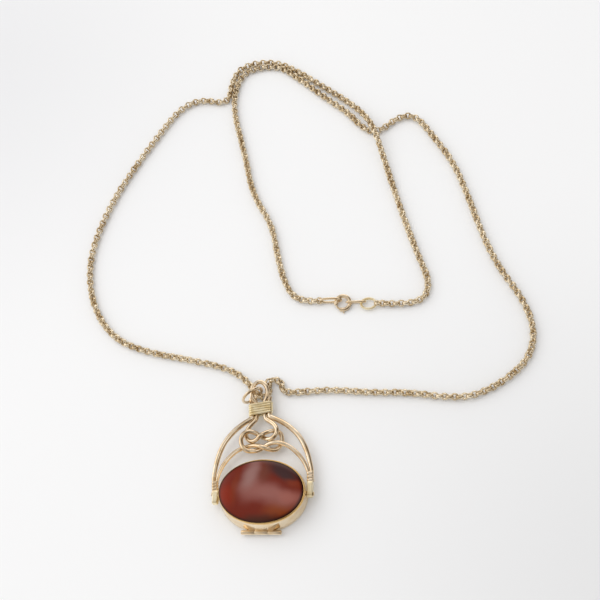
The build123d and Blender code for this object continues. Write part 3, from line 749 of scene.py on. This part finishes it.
def link_tree():
    """Oval band links along a curve, each turned a quarter from the last."""
    tree, given = new_tree(
        "belcher_links",
        (
            ("Pitch", "NodeSocketFloat"),
            ("Length", "NodeSocketFloat"),
            ("Width", "NodeSocketFloat"),
            ("Wire", "NodeSocketFloat"),
            ("Band", "NodeSocketFloat"),
            ("Roll", "NodeSocketFloat"),
            ("Seed", "NodeSocketInt"),
            ("Material", "NodeSocketMaterial"),
        ),
    )
    places = add_node(
        tree, "GeometryNodeResampleCurve", {"Curve": given["Geometry"], "Length": given["Pitch"]}, mode="LENGTH"
    )
    half_length = add_node(tree, "ShaderNodeMath", {0: given["Length"], 1: given["Wire"]}, operation="SUBTRACT")
    half_width = add_node(tree, "ShaderNodeMath", {0: given["Width"], 1: given["Wire"]}, operation="SUBTRACT")
    oval_size = add_node(
        tree, "ShaderNodeCombineXYZ", {"X": half_length.outputs[0], "Y": half_width.outputs[0], "Z": 1.0}
    )
    oval = add_node(tree, "GeometryNodeCurvePrimitiveCircle", {"Resolution": 14, "Radius": 0.5})
    oval = add_node(tree, "GeometryNodeTransform", {"Geometry": oval.outputs[0], "Scale": oval_size.outputs[0]})
    section_size = add_node(tree, "ShaderNodeCombineXYZ", {"X": given["Wire"], "Y": given["Band"], "Z": 1.0})
    section = add_node(tree, "GeometryNodeCurvePrimitiveCircle", {"Resolution": 6, "Radius": 0.5})
    section = add_node(
        tree, "GeometryNodeTransform", {"Geometry": section.outputs[0], "Scale": section_size.outputs[0]}
    )
    link = add_node(
        tree, "GeometryNodeCurveToMesh", {"Curve": oval.outputs[0], "Profile Curve": section.outputs[0]}
    )
    link = add_node(tree, "GeometryNodeSetShadeSmooth", {"Geometry": link.outputs[0]})
    tangent = add_node(tree, "GeometryNodeInputTangent").outputs[0]
    index = add_node(tree, "GeometryNodeInputIndex").outputs[0]
    parity = add_node(tree, "ShaderNodeMath", {0: index, 1: 2.0}, operation="MODULO")
    quarter = add_node(
        tree, "ShaderNodeMath", {0: parity.outputs[0], 1: math.pi / 2, 2: -math.pi / 4}, operation="MULTIPLY_ADD"
    )
    least = add_node(tree, "ShaderNodeMath", {0: given["Roll"], 1: -1.0}, operation="MULTIPLY")
    chance = add_node(
        tree,
        "FunctionNodeRandomValue",
        {2: least.outputs[0], 3: given["Roll"], "Seed": given["Seed"]},
        data_type="FLOAT",
    )
    angle = add_node(tree, "ShaderNodeMath", {0: quarter.outputs[0], 1: chance.outputs[1]}, operation="ADD")
    hole = add_node(
        tree,
        "ShaderNodeVectorRotate",
        {"Vector": (0.0, 0.0, 1.0), "Axis": tangent, "Angle": angle.outputs[0]},
        rotation_type="AXIS_ANGLE",
    )
    turn = add_node(
        tree,
        "FunctionNodeAxesToRotation",
        {"Primary Axis": tangent, "Secondary Axis": hole.outputs[0]},
        primary_axis="X",
        secondary_axis="Z",
    )
    links = add_node(
        tree,
        "GeometryNodeInstanceOnPoints",
        {"Points": places.outputs[0], "Instance": link.outputs[0], "Rotation": turn.outputs[0]},
    )
    end_tree(tree, links.outputs[0], given["Material"])
    return tree


def binding_tree():
    """Turns of wire, each a rounded loop, set along a straight line."""
    tree, given = new_tree(
        "wire_binding",
        (
            ("Turns", "NodeSocketInt"),
            ("Bore Width", "NodeSocketFloat"),
            ("Bore Depth", "NodeSocketFloat"),
            ("Wire", "NodeSocketFloat"),
            ("Breadth", "NodeSocketFloat"),
            ("Lean", "NodeSocketFloat"),
            ("Unevenness", "NodeSocketFloat"),
            ("Seed", "NodeSocketInt"),
            ("Material", "NodeSocketMaterial"),
        ),
    )
    places = add_node(
        tree, "GeometryNodeResampleCurve", {"Curve": given["Geometry"], "Count": given["Turns"]}, mode="COUNT"
    )
    width = add_node(tree, "ShaderNodeMath", {0: given["Bore Width"], 1: given["Wire"]}, operation="ADD")
    depth = add_node(tree, "ShaderNodeMath", {0: given["Bore Depth"], 1: given["Wire"]}, operation="ADD")
    loop = add_node(
        tree, "GeometryNodeCurvePrimitiveQuadrilateral", {"Width": width.outputs[0], "Height": depth.outputs[0]}
    )
    radius = add_node(tree, "ShaderNodeMath", {0: depth.outputs[0], 1: 0.495}, operation="MULTIPLY")
    loop = add_node(
        tree,
        "GeometryNodeFilletCurve",
        {"Curve": loop.outputs[0], "Radius": radius.outputs[0], "Count": 7},
        mode="POLY",
    )
    section = add_node(tree, "GeometryNodeCurvePrimitiveCircle", {"Resolution": 12, "Radius": 0.5})
    section_size = add_node(
        tree, "ShaderNodeCombineXYZ", {"X": given["Wire"], "Y": given["Breadth"], "Z": 1.0}
    )
    section = add_node(
        tree, "GeometryNodeTransform", {"Geometry": section.outputs[0], "Scale": section_size.outputs[0]}
    )
    turn = add_node(
        tree, "GeometryNodeCurveToMesh", {"Curve": loop.outputs[0], "Profile Curve": section.outputs[0]}
    )
    turn = add_node(tree, "GeometryNodeSetShadeSmooth", {"Geometry": turn.outputs[0]})
    tangent = add_node(tree, "GeometryNodeInputTangent").outputs[0]
    facing = add_node(
        tree,
        "FunctionNodeAxesToRotation",
        {"Primary Axis": tangent, "Secondary Axis": (0.0, 0.0, 1.0)},
        primary_axis="Z",
        secondary_axis="Y",
    )
    least = add_node(tree, "ShaderNodeMath", {0: given["Unevenness"], 1: -1.0}, operation="MULTIPLY")
    chance = add_node(
        tree,
        "FunctionNodeRandomValue",
        {2: least.outputs[0], 3: given["Unevenness"], "Seed": given["Seed"]},
        data_type="FLOAT",
    )
    lean = add_node(tree, "ShaderNodeMath", {0: given["Lean"], 1: chance.outputs[1]}, operation="ADD")
    tilt = add_node(tree, "ShaderNodeCombineXYZ", {"Y": lean.outputs[0]})
    turned = add_node(
        tree,
        "FunctionNodeRotateRotation",
        {"Rotation": facing.outputs[0], "Rotate By": tilt.outputs[0]},
        rotation_space="LOCAL",
    )
    turns = add_node(
        tree,
        "GeometryNodeInstanceOnPoints",
        {"Points": places.outputs[0], "Instance": turn.outputs[0], "Rotation": turned.outputs[0]},
    )
    end_tree(tree, turns.outputs[0], given["Material"])
    return tree


def skinned_mesh(name, rows, closed=False, caps=False):
    """Mesh through rows of places, each row joined to the next. A row of one place is a pole.

    Closed joins the last row to the first, and caps close the first and last rows.
    """
    skin = bmesh.new()
    rings = [[skin.verts.new(place) for place in row] for row in rows]
    pairs = list(zip(rings, rings[1:]))
    if closed:
        pairs.append((rings[-1], rings[0]))
    for lower, upper in pairs:
        count = max(len(lower), len(upper))
        for i in range(count):
            j = (i + 1) % count
            if len(lower) == 1:
                skin.faces.new((lower[0], upper[j], upper[i]))
            elif len(upper) == 1:
                skin.faces.new((lower[i], lower[j], upper[0]))
            else:
                skin.faces.new((lower[i], lower[j], upper[j], upper[i]))
    if caps:
        skin.faces.new(rings[0])
        skin.faces.new(reversed(rings[-1]))
    bmesh.ops.recalc_face_normals(skin, faces=skin.faces)
    mesh = bpy.data.meshes.new(name)
    skin.to_mesh(mesh)
    skin.free()
    return mesh


def oval_shell(name, rings, closed, sides=160):
    """Smooth mesh through ovals round the case's centre: half length, half width, height, and shift along x.

    An oval of no size is one point.
    """
    rows = []
    for half_length, half_width, height, shift in rings:
        if half_length == 0:
            rows.append([spot(shift, 0, height)])
            continue
        rows.append(
            [spot(shift + half_length * math.cos(a), half_width * math.sin(a), height) for a in round_angles(sides)]
        )
    return smooth(skinned_mesh(name, rows, closed))


def case_shell(name, insets):
    """Closed shell through rings given by how far inside the case's length and width they lie."""
    rings = [(CASE_LENGTH / 2 - a, CASE_WIDTH / 2 - b, z, shift) for a, b, z, shift in insets]
    return oval_shell(name, rings, closed=True)


def turned_rod(name, start, axis, steps, sides=32):
    """Smooth solid of revolution along an axis from a start: steps give distance along and radius, in millimetres.

    Steps that end where they start make a ring with a bore.
    """
    axis = Vector(axis).normalized()
    side = axis.orthogonal().normalized()
    other = axis.cross(side)
    bored = steps[0] == steps[-1]
    rows = []
    for along, radius in steps[:-1] if bored else steps:
        centre = Vector(start) + axis * along * MM
        if radius == 0:
            rows.append([centre])
            continue
        rows.append([centre + (side * math.cos(a) + other * math.sin(a)) * radius * MM for a in round_angles(sides)])
    return smooth(skinned_mesh(name, rows, closed=bored))


class FOB_OT_chain(bpy.types.Operator):
    """Belcher chain of oval band links, from the clasp through the pendant's jump ring and back"""

    bl_idname = "fob.chain"
    bl_label = "Chain"

    def execute(self, context):
        sizes = context.scene.fob_sizes
        route = route_curve("chain_route", [spot(*p) for p in CHAIN_ROUTE])
        values = {
            "Pitch": sizes.link_length - 2 * sizes.link_wire,
            "Length": sizes.link_length,
            "Width": sizes.link_width,
            "Wire": sizes.link_wire,
            "Band": sizes.link_band,
            "Roll": sizes.link_roll,
            "Seed": 7,
            "Material": material("chain"),
        }
        use_tree(route, link_tree(), values)
        mesh = evaluated_mesh(route, "belcher_chain")
        place_piece("belcher_chain", mesh, "chain", "frame", ["chain_left", "chain_right"])
        return {"FINISHED"}


class FOB_OT_wires(bpy.types.Operator):
    """Outer arches and the two wires that tie the reef knot"""

    bl_idname = "fob.wires"
    bl_label = "Frame wires"

    def execute(self, context):
        sizes = context.scene.fob_sizes
        # Each wire is thinned inside its binding, and a little in the neck
        outer = [(OUTER_END_X, TERMINAL_START + WIRE_GAP, 0), (OUTER_ENTRY_X, TERMINAL_TOP, 0)]
        for out, up in ARCH_SHAPE:
            outer.append((way(OUTER_NECK_X, OUTER_WIRE_X, out), way(TERMINAL_START, NECK_HEIGHT, up), 0))
        outer.append((OUTER_NECK_X, NECK_HEIGHT - NECK_ENTRY, 0))
        outer.append((OUTER_NECK_X, WRAP_TOP + NECK_EXIT, 0))
        outer.append((OUTER_NECK_X + STUB_SPREAD, WRAP_TOP + STUB_LENGTH, 0))
        outer_taper = [0.6, 0.64, 0.84] + [1.04] * 4 + [1.0] + [0.92] * 3
        knot = [(INNER_END_X, TERMINAL_START + WIRE_GAP, 0), (INNER_ENTRY_X, TERMINAL_TOP, 0)]
        for out, up, over in LEG_SHAPE:
            x = way(KNOT_WIDTH / 2, INNER_WIRE_X, out)
            y = way(TERMINAL_TOP, KNOT_HEIGHT - KNOT_LENGTH / 2, up)
            knot.append((x, y, over))
        for across, up, over in KNOT_SHAPE:
            knot.append((across * KNOT_WIDTH / 2, KNOT_HEIGHT + up * KNOT_LENGTH / 2, over))
        for out, up, over in KNOT_EXIT_SHAPE:
            x = way(INNER_NECK_X, KNOT_WIDTH / 2, out)
            y = way(KNOT_HEIGHT + KNOT_LENGTH / 2, NECK_HEIGHT, up)
            knot.append((x, y, over))
        knot.append((INNER_NECK_X, NECK_HEIGHT - NECK_ENTRY, 0))
        knot.append((INNER_NECK_X, (NECK_HEIGHT + WRAP_TOP) / 2, 0))
        knot_taper = [0.66, 0.72, 0.94] + [1.0] * (len(knot) - 6) + [0.96, 0.9, 0.9]
        for side, word in ((-1, "left"), (1, "right")):
            points = [wire_spot(side * x, y, z) for x, y, z in outer]
            mesh = wire_mesh(f"arch_{word}", points, sizes.outer_wire, taper=outer_taper)
            place_piece(f"arch_{word}", mesh, "wire", "frame", [f"outer_wire_{word}"])
            points = [wire_spot(side * x, y, side * over * CROSS_RISE) for x, y, over in knot]
            mesh = wire_mesh(f"knot_{word}", points, sizes.knot_wire, taper=knot_taper)
            place_piece(f"knot_{word}", mesh, "wire", "frame", [f"knot_wire_{word}"])
        return {"FINISHED"}


def eye_mesh(name, side):
    """Swivel eye: a block with softened corners, slotted for the pivot pin, under a rounded shoulder."""
    slot_shift = side * EYE_SLOT_RUN
    bottom = slot_shift - EYE_SLOT_RUN - EYE_SLOT_RADIUS - EYE_FLOORS[side]
    top = TERMINAL_START - 0.1 + side * OUTER_WIRE_X * math.sin(math.radians(FRAME_LEAN))
    middle = (top + bottom) / 2
    straight = (top - bottom) / 2 - EYE_CORNER
    outline = []
    slot = []
    for angle in round_angles(48):
        c, w = math.cos(angle), math.sin(angle)
        outline.append(
            (middle + straight * sign(c) + EYE_CORNER * c, (EYE_DEPTH / 2 - EYE_CORNER) * sign(w) + EYE_CORNER * w)
        )
        slot.append((slot_shift + EYE_SLOT_RUN * sign(c) + EYE_SLOT_RADIUS * c, EYE_SLOT_RADIUS * w))
    inside = side * EYE_X
    outside = side * (EYE_X + EYE_THICKNESS)
    profiles = ((inside, slot), (inside, outline), (outside, outline), (outside, slot))
    rows = [[spot(x, y, PIVOT_HEIGHT + z) for y, z in shape] for x, shape in profiles]
    return smooth(skinned_mesh(name, rows, closed=True))


def soften(piece, width, angle=35.0):
    """Round the piece's sharp edges, as polishing does."""
    bevel = piece.modifiers.new("softened_edges", "BEVEL")
    bevel.width = width * MM
    bevel.segments = 3
    bevel.limit_method = "ANGLE"
    bevel.angle_limit = math.radians(angle)
    bevel.harden_normals = True


class FOB_OT_bindings(bpy.types.Operator):
    """Wound wire round the neck and above each swivel eye, with the eyes"""

    bl_idname = "fob.bindings"
    bl_label = "Bindings and eyes"

    def execute(self, context):
        sizes = context.scene.fob_sizes
        tree = binding_tree()
        low = NECK_HEIGHT + WRAP_TURN / 2
        high = WRAP_TOP - WRAP_TURN / 2
        bundle = (INNER_END_X + OUTER_END_X) / 2
        # Bindings: name, turns, start, end, place across, bore, wire, breadth, lean
        rows = (
            ("neck_wrap", sizes.wrap_turns, low, high, 0.0, (5.8, 1.2), 0.52, 0.72, 0.05),
            ("binding_left", 4, 1.9, 4.3, -bundle, (1.4, 0.8), 0.25, 0.8, 0.05),
            ("binding_right", 3, 2.6, 4.5, bundle, (1.5, 0.8), 0.25, 0.92, -0.05),
        )
        for name, turns, start, end, across, bore, wire, breadth, lean in rows:
            line = route_curve(f"{name}_line", (wire_spot(across, start, 0), wire_spot(across, end, 0)), kind="POLY")
            neck = name == "neck_wrap"
            finish = "binding" if neck else "wire"
            values = {
                "Turns": turns,
                "Bore Width": bore[0] * MM,
                "Bore Depth": bore[1] * MM,
                "Wire": wire * MM,
                "Breadth": breadth * MM,
                "Lean": lean,
                "Unevenness": 0.02,
                "Seed": 3,
                "Material": material(finish),
            }
            use_tree(line, tree, values)
            mesh = evaluated_mesh(line, name)
            place_piece(name, mesh, finish, "frame", ["top_wrap"] if neck else [])
        for side, word in ((-1, "left"), (1, "right")):
            mesh = eye_mesh(f"eye_{word}", side)
            eye = place_piece(f"eye_{word}", mesh, "binding", "frame", [f"terminal_{word}"])
            soften(eye, 0.36)
        return {"FINISHED"}


class FOB_OT_rings(bpy.types.Operator):
    """Bail and the jump ring that joins it to the chain"""

    bl_idname = "fob.rings"
    bl_label = "Bail and jump ring"

    def execute(self, context):
        sizes = context.scene.fob_sizes
        half = (BAIL_WIDTH - sizes.bail_wire / MM) / 2
        foot = (NECK_HEIGHT + WRAP_TOP) / 2 + WIRE_GAP
        points = [(-INNER_NECK_X, foot, 0), (-INNER_NECK_X, WRAP_TOP + WIRE_GAP, 0)]
        for across, up, rise in BAIL_SHAPE:
            points.append((across * half, WRAP_TOP + up * BAIL_LENGTH, rise * BAIL_RISE))
        points.append((INNER_NECK_X, WRAP_TOP + WIRE_GAP, 0))
        points.append((INNER_NECK_X, foot, 0))
        mesh = wire_mesh("teardrop_bail", [wire_spot(*p) for p in points], sizes.bail_wire)
        place_piece("teardrop_bail", mesh, "wire", "frame", ["bail"])
        turn = math.radians(JUMP_RING_TURN)
        across = Vector((math.cos(turn), math.sin(turn), 0))
        centre = spot(*JUMP_RING_PLACE)
        count = 12
        # The smooth curve cuts inside its points, so they stand that much further out
        reach = (JUMP_RING - sizes.jump_ring_wire / MM) / 2 * MM / math.cos(math.pi / count)
        points = []
        for angle in round_angles(count):
            points.append(centre + across * reach * math.cos(angle) + Vector((0, 0, reach * math.sin(angle))))
        mesh = wire_mesh("round_jump_ring", points, sizes.jump_ring_wire, closed=True)
        place_piece("round_jump_ring", mesh, "wire", "frame", ["jump_ring"])
        return {"FINISHED"}


def knuckle_mesh(name, place, half_length):
    """Hinge knuckle with rounded rims, bored for the hinge pin."""
    radius = KNUCKLE / 2 - 0.08
    bore = HINGE_PIN / 2 + 0.04
    rim = 0.12
    nick = rim * 0.3
    length = 2 * half_length
    steps = (
        (0, bore),
        (0, radius - rim),
        (nick, radius - nick),
        (rim, radius),
        (length - rim, radius),
        (length - nick, radius - nick),
        (length, radius - rim),
        (length, bore),
        (0, bore),
    )
    return turned_rod(name, spot(place - half_length, HINGE_Y, SPLIT_HEIGHT), (1, 0, 0), steps)


def tongue_mesh(name, ends, heights):
    """Small plate from a knuckle to the case's wall, its far edge following the oval."""
    near_y = HINGE_Y + KNUCKLE / 2 - 0.22
    low_z, high_z = heights
    pieces = 6
    rows = []
    for i in range(pieces + 1):
        x = way(*ends, i / pieces)
        wall_y = -(CASE_WIDTH / 2 - 0.2) * math.sqrt(1 - (x / (CASE_LENGTH / 2)) ** 2)
        corners = ((near_y, low_z), (wall_y, low_z), (wall_y, high_z), (near_y, high_z))
        rows.append([spot(x, y, z) for y, z in corners])
    return skinned_mesh(name, rows, caps=True)


class FOB_OT_case(bpy.types.Operator):
    """Oval case with its rubbed-over bezel, the hinged lid, the hinge knuckles and the pivot pins"""

    bl_idname = "fob.case"
    bl_label = "Case and lid"

    def execute(self, context):
        # Shells: name, rings, finish, body, nodes
        shells = (
            ("oval_case", WALL_RINGS, "case", "setting", ["case"]),
            ("bezel_lip", LIP_RINGS, "bezel", "setting", []),
            ("hinged_lid", LID_RINGS, "case", "lid", ["lid"]),
        )
        for name, rings, finish, body, nodes in shells:
            shell = place_piece(name, case_shell(name, rings), finish, body, nodes)
            if finish == "case":
                soften(shell, 0.05, 50.0)

        third = HINGE_LENGTH / 3
        half = (third - KNUCKLE_GAP) / 2
        above = (SPLIT_HEIGHT + SPLIT_GAP, SPLIT_HEIGHT + SPLIT_GAP + TONGUE_THICKNESS)
        below = (SPLIT_HEIGHT - SPLIT_GAP - TONGUE_THICKNESS, SPLIT_HEIGHT - SPLIT_GAP)
        # Knuckles: place, word, body, and the tongue's ends in shares of half a knuckle, and its heights
        knuckles = (
            (-third, "left", "setting", (0.2, 1.0), above),
            (0.0, "middle", "lid", (-1.0, 1.0), below),
            (third, "right", "setting", (-1.0, -0.2), above),
        )
        for place, word, body, shares, heights in knuckles:
            mesh = knuckle_mesh(f"knuckle_{word}", place, half)
            place_piece(f"knuckle_{word}", mesh, "case", body, [])
            mesh = tongue_mesh(f"tongue_{word}", [place + share * half for share in shares], heights)
            tongue = place_piece(f"tongue_{word}", mesh, "case", body, [])
            soften(tongue, 0.06)
        pin = HINGE_PIN / 2
        end = HINGE_LENGTH + 0.1
        steps = ((0, 0), (0.02, pin * 0.7), (0.1, pin), (end - 0.1, pin), (end - 0.02, pin * 0.7), (end, 0))
        mesh = turned_rod("hinge_rod", spot(-end / 2, HINGE_Y, SPLIT_HEIGHT), (1, 0, 0), steps)
        place_piece("hinge_rod", mesh, "case", "setting", ["hinge_pin"])

        # Pivots: boss on the wall, pin through the eye, and its riveted head, measured from inside the wall
        pin = PIVOT_PIN / 2
        start = CASE_LENGTH / 2 - 0.5
        boss = 0.7
        eye_end = boss + EYE_THICKNESS + 0.3
        steps = [(0, 0), (0, PIVOT_BOSS), (boss - 0.08, PIVOT_BOSS), (boss, PIVOT_BOSS - 0.08), (boss, pin)]
        steps += [(eye_end, pin)] + [(eye_end + along, radius) for along, radius in PIVOT_HEAD]
        for side, word in ((-1, "left"), (1, "right")):
            mesh = turned_rod(f"pivot_{word}", spot(side * start, 0, PIVOT_HEIGHT), (side, 0, 0), steps)
            place_piece(f"pivot_{word}", mesh, "case", "setting", [])
        return {"FINISHED"}


class FOB_OT_stones(bpy.types.Operator):
    """Domed carnelian in front and the bloodstone tablet in the lid"""

    bl_idname = "fob.stones"
    bl_label = "Stones"

    def execute(self, context):
        half_length = STONE_LENGTH / 2 - STONE_GAP
        half_width = STONE_WIDTH / 2 - STONE_GAP
        rings = [
            (0, 0, STONE_SEAT, STONE_SHIFT),
            (half_length - 0.1, half_width - 0.1, STONE_SEAT, STONE_SHIFT),
            (half_length, half_width, STONE_SEAT + 0.1, STONE_SHIFT),
            (half_length, half_width, STONE_GIRDLE, STONE_SHIFT),
        ]
        # Dome: nearly flat on top, with quick shoulders, as such stones are cut
        steps = 22
        for i in range(1, steps + 1):
            share = math.cos(math.pi / 2 * i / steps) if i < steps else 0.0
            rise = (1 - share**2.7) ** 0.53
            height = STONE_GIRDLE + rise * (CARNELIAN_DOME + CASE_DEPTH - STONE_GIRDLE)
            rings.append((share * half_length, share * half_width, height, STONE_SHIFT))
        mesh = oval_shell("domed_carnelian", rings, closed=False)
        place_piece("domed_carnelian", mesh, "carnelian", "setting", ["carnelian"])
        half_length = CASE_LENGTH / 2 - 0.9
        half_width = CASE_WIDTH / 2 - 1.26
        rings = [(0, 0, 0.93, 0)]
        rings += [(half_length - inset, half_width - inset, height, 0) for inset, height in TABLET_EDGE]
        rings.append((0, 0, 0.1, 0))
        mesh = oval_shell("bloodstone_tablet", rings, closed=False)
        place_piece("bloodstone_tablet", mesh, "bloodstone", "lid", ["bloodstone"])
        return {"FINISHED"}


class FOB_OT_clasp(bpy.types.Operator):
    """Bolt ring with its bolt, the small links beside it and the bare tag link"""

    bl_idname = "fob.clasp"
    bl_label = "Clasp"

    def execute(self, context):
        for name in ("bolt_ring", "bolt"):
            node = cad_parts[name]
            node.data.materials.clear()
            node.data.materials.append(material("case"))
        count = 16
        reach = 1 / math.cos(math.pi / count)
        for word, (x, y), length, width, wire, lean in CLASP_LINKS:
            lean = math.radians(lean)
            points = []
            for angle in round_angles(count):
                c = math.cos(angle)
                along = math.copysign(abs(c) ** 0.75, c) * reach * (length - wire) / 2
                across = math.sin(angle) * reach * (width - wire) / 2
                points.append(spot(x + along, y + across * math.cos(lean), LINK_HEIGHT + across * math.sin(lean)))
            mesh = wire_mesh(f"small_link_{word}", points, wire * MM, closed=True)
            place_piece(f"small_link_{word}", mesh, "case", "frame", [f"clasp_link_{word}"])

        # Section of the tag's band, once round its four rounded edges: how far inside the outline, and height
        back = TAG_EDGE[::-1]
        section = [*TAG_EDGE]
        section += [(TAG_BAND - inset, height) for inset, height in back]
        section += [(TAG_BAND - inset, TAG_THICKNESS - height) for inset, height in TAG_EDGE]
        section += [(inset, TAG_THICKNESS - height) for inset, height in back]
        tag_x, tag_y, tag_z = TAG_PLACE
        rows = []
        for inset, height in section:
            long, wide = TAG_LENGTH / 2 - inset, TAG_WIDTH / 2 - inset
            rows.append(
                [spot(tag_x + long * math.cos(a), tag_y + wide * math.sin(a), tag_z + height) for a in round_angles(96)]
            )
        mesh = smooth(skinned_mesh("bare_tag", rows, closed=True))
        place_piece("bare_tag", mesh, "binding", "frame", ["tag_link"])
        return {"FINISHED"}


def key_light(name, place, target, size, power, colour):
    """Soft square light that faces a target. Reflections show the room's panels in its stead."""
    data = bpy.data.lights.new(name, "AREA")
    data.shape = "SQUARE"
    data.size = size
    data.energy = power
    data.color = colour[:3]
    lamp = bpy.data.objects.new(name, data)
    bpy.context.scene.collection.objects.link(lamp)
    lamp.location = place
    lamp.rotation_euler = (Vector(target) - Vector(place)).to_track_quat("-Z", "Y").to_euler()
    lamp.visible_glossy = False


class FOB_OT_stage(bpy.types.Operator):
    """Pale paper floor, a bright room with soft panels, the key light and the camera"""

    bl_idname = "fob.stage"
    bl_label = "Stage"

    def execute(self, context):
        scene = context.scene
        scene.view_settings.view_transform = "Standard"
        floor_mesh = bpy.data.meshes.new("paper_floor")
        corners = [(x * FLOOR_HALF, y * FLOOR_HALF, 0) for x, y in ((-1, -1), (1, -1), (1, 1), (-1, 1))]
        floor_mesh.from_pydata(corners, [], [(0, 1, 2, 3)])
        floor_mesh.materials.append(material("paper"))
        floor = bpy.data.objects.new("paper_floor", floor_mesh)
        scene.collection.objects.link(floor)

        camera_data = bpy.data.cameras.new("camera")
        camera_data.lens = CAMERA_LENS
        camera_data.sensor_width = CAMERA_SENSOR
        camera_data.clip_start = 0.01
        camera = bpy.data.objects.new("camera", camera_data)
        scene.collection.objects.link(camera)
        turn = Matrix(CAMERA_AXES).transposed().to_4x4()
        camera.matrix_world = Matrix.Translation(CAMERA_PLACE) @ turn
        scene.camera = camera

        world = bpy.data.worlds.new("soft_room")
        scene.world = world
        world.use_nodes = True
        tree = world.node_tree
        tree.nodes.clear()
        direction = add_node(tree, "ShaderNodeTexCoord").outputs["Generated"]
        total = ROOM_TINT
        for toward, edge, strength, tint in ROOM_PANELS:
            unit = Vector(toward).normalized()
            dot = add_node(tree, "ShaderNodeVectorMath", {0: direction, 1: unit}, operation="DOT_PRODUCT")
            soft = add_node(
                tree,
                "ShaderNodeMapRange",
                {"Value": dot.outputs["Value"], "From Min": edge, "From Max": 1.0, "To Max": strength},
                interpolation_type="SMOOTHSTEP",
            )
            shade = add_node(
                tree, "ShaderNodeVectorMath", {0: linear(tint)[:3], "Scale": soft.outputs["Result"]}, operation="SCALE"
            )
            total = add_node(tree, "ShaderNodeVectorMath", {0: total, 1: shade.outputs[0]}, operation="ADD").outputs[0]
        seen = add_node(tree, "ShaderNodeBackground", {"Color": total, "Strength": 1.0})
        fill = add_node(tree, "ShaderNodeBackground", {"Color": linear("fefeff"), "Strength": FILL_STRENGTH})
        path = add_node(tree, "ShaderNodeLightPath")
        mix = add_node(
            tree, "ShaderNodeMixShader", {0: path.outputs["Is Glossy Ray"], 1: fill.outputs[0], 2: seen.outputs[0]}
        )
        add_node(tree, "ShaderNodeOutputWorld", {"Surface": mix.outputs[0]})
        key_light("key_light", KEY_PLACE, KEY_TARGET, KEY_SIZE, KEY_POWER, linear("fffefc"))
        return {"FINISHED"}


class FOB_PT_panel(bpy.types.Panel):
    """Sidebar panel that lists the sizes, the colours and the steps"""

    bl_idname = "FOB_PT_panel"
    bl_label = "Swivel fob"
    bl_space_type = "VIEW_3D"
    bl_region_type = "UI"
    bl_category = "Fob"

    def draw(self, context):
        for group in (context.scene.fob_sizes, context.scene.fob_colours):
            box = self.layout.box()
            for key in group.__annotations__:
                box.prop(group, key)
        for step in STEPS:
            self.layout.operator(step.bl_idname)


STEPS = (
    FOB_OT_stage,
    FOB_OT_chain,
    FOB_OT_wires,
    FOB_OT_bindings,
    FOB_OT_rings,
    FOB_OT_case,
    FOB_OT_stones,
    FOB_OT_clasp,
)
CLASSES = (FobSizes, FobColours, *STEPS, FOB_PT_panel)


def register():
    """Register the classes and the scene's two groups of values."""
    for item in CLASSES:
        bpy.utils.register_class(item)
    bpy.types.Scene.fob_sizes = PointerProperty(type=FobSizes)
    bpy.types.Scene.fob_colours = PointerProperty(type=FobColours)


def unregister():
    """Remove them again."""
    del bpy.types.Scene.fob_colours
    del bpy.types.Scene.fob_sizes
    for item in reversed(CLASSES):
        bpy.utils.unregister_class(item)


def main():
    """Build the whole scene."""
    register()
    for step in STEPS:
        group, action = step.bl_idname.split(".")
        getattr(getattr(bpy.ops, group), action)()


if __name__ == "__main__":
    main()
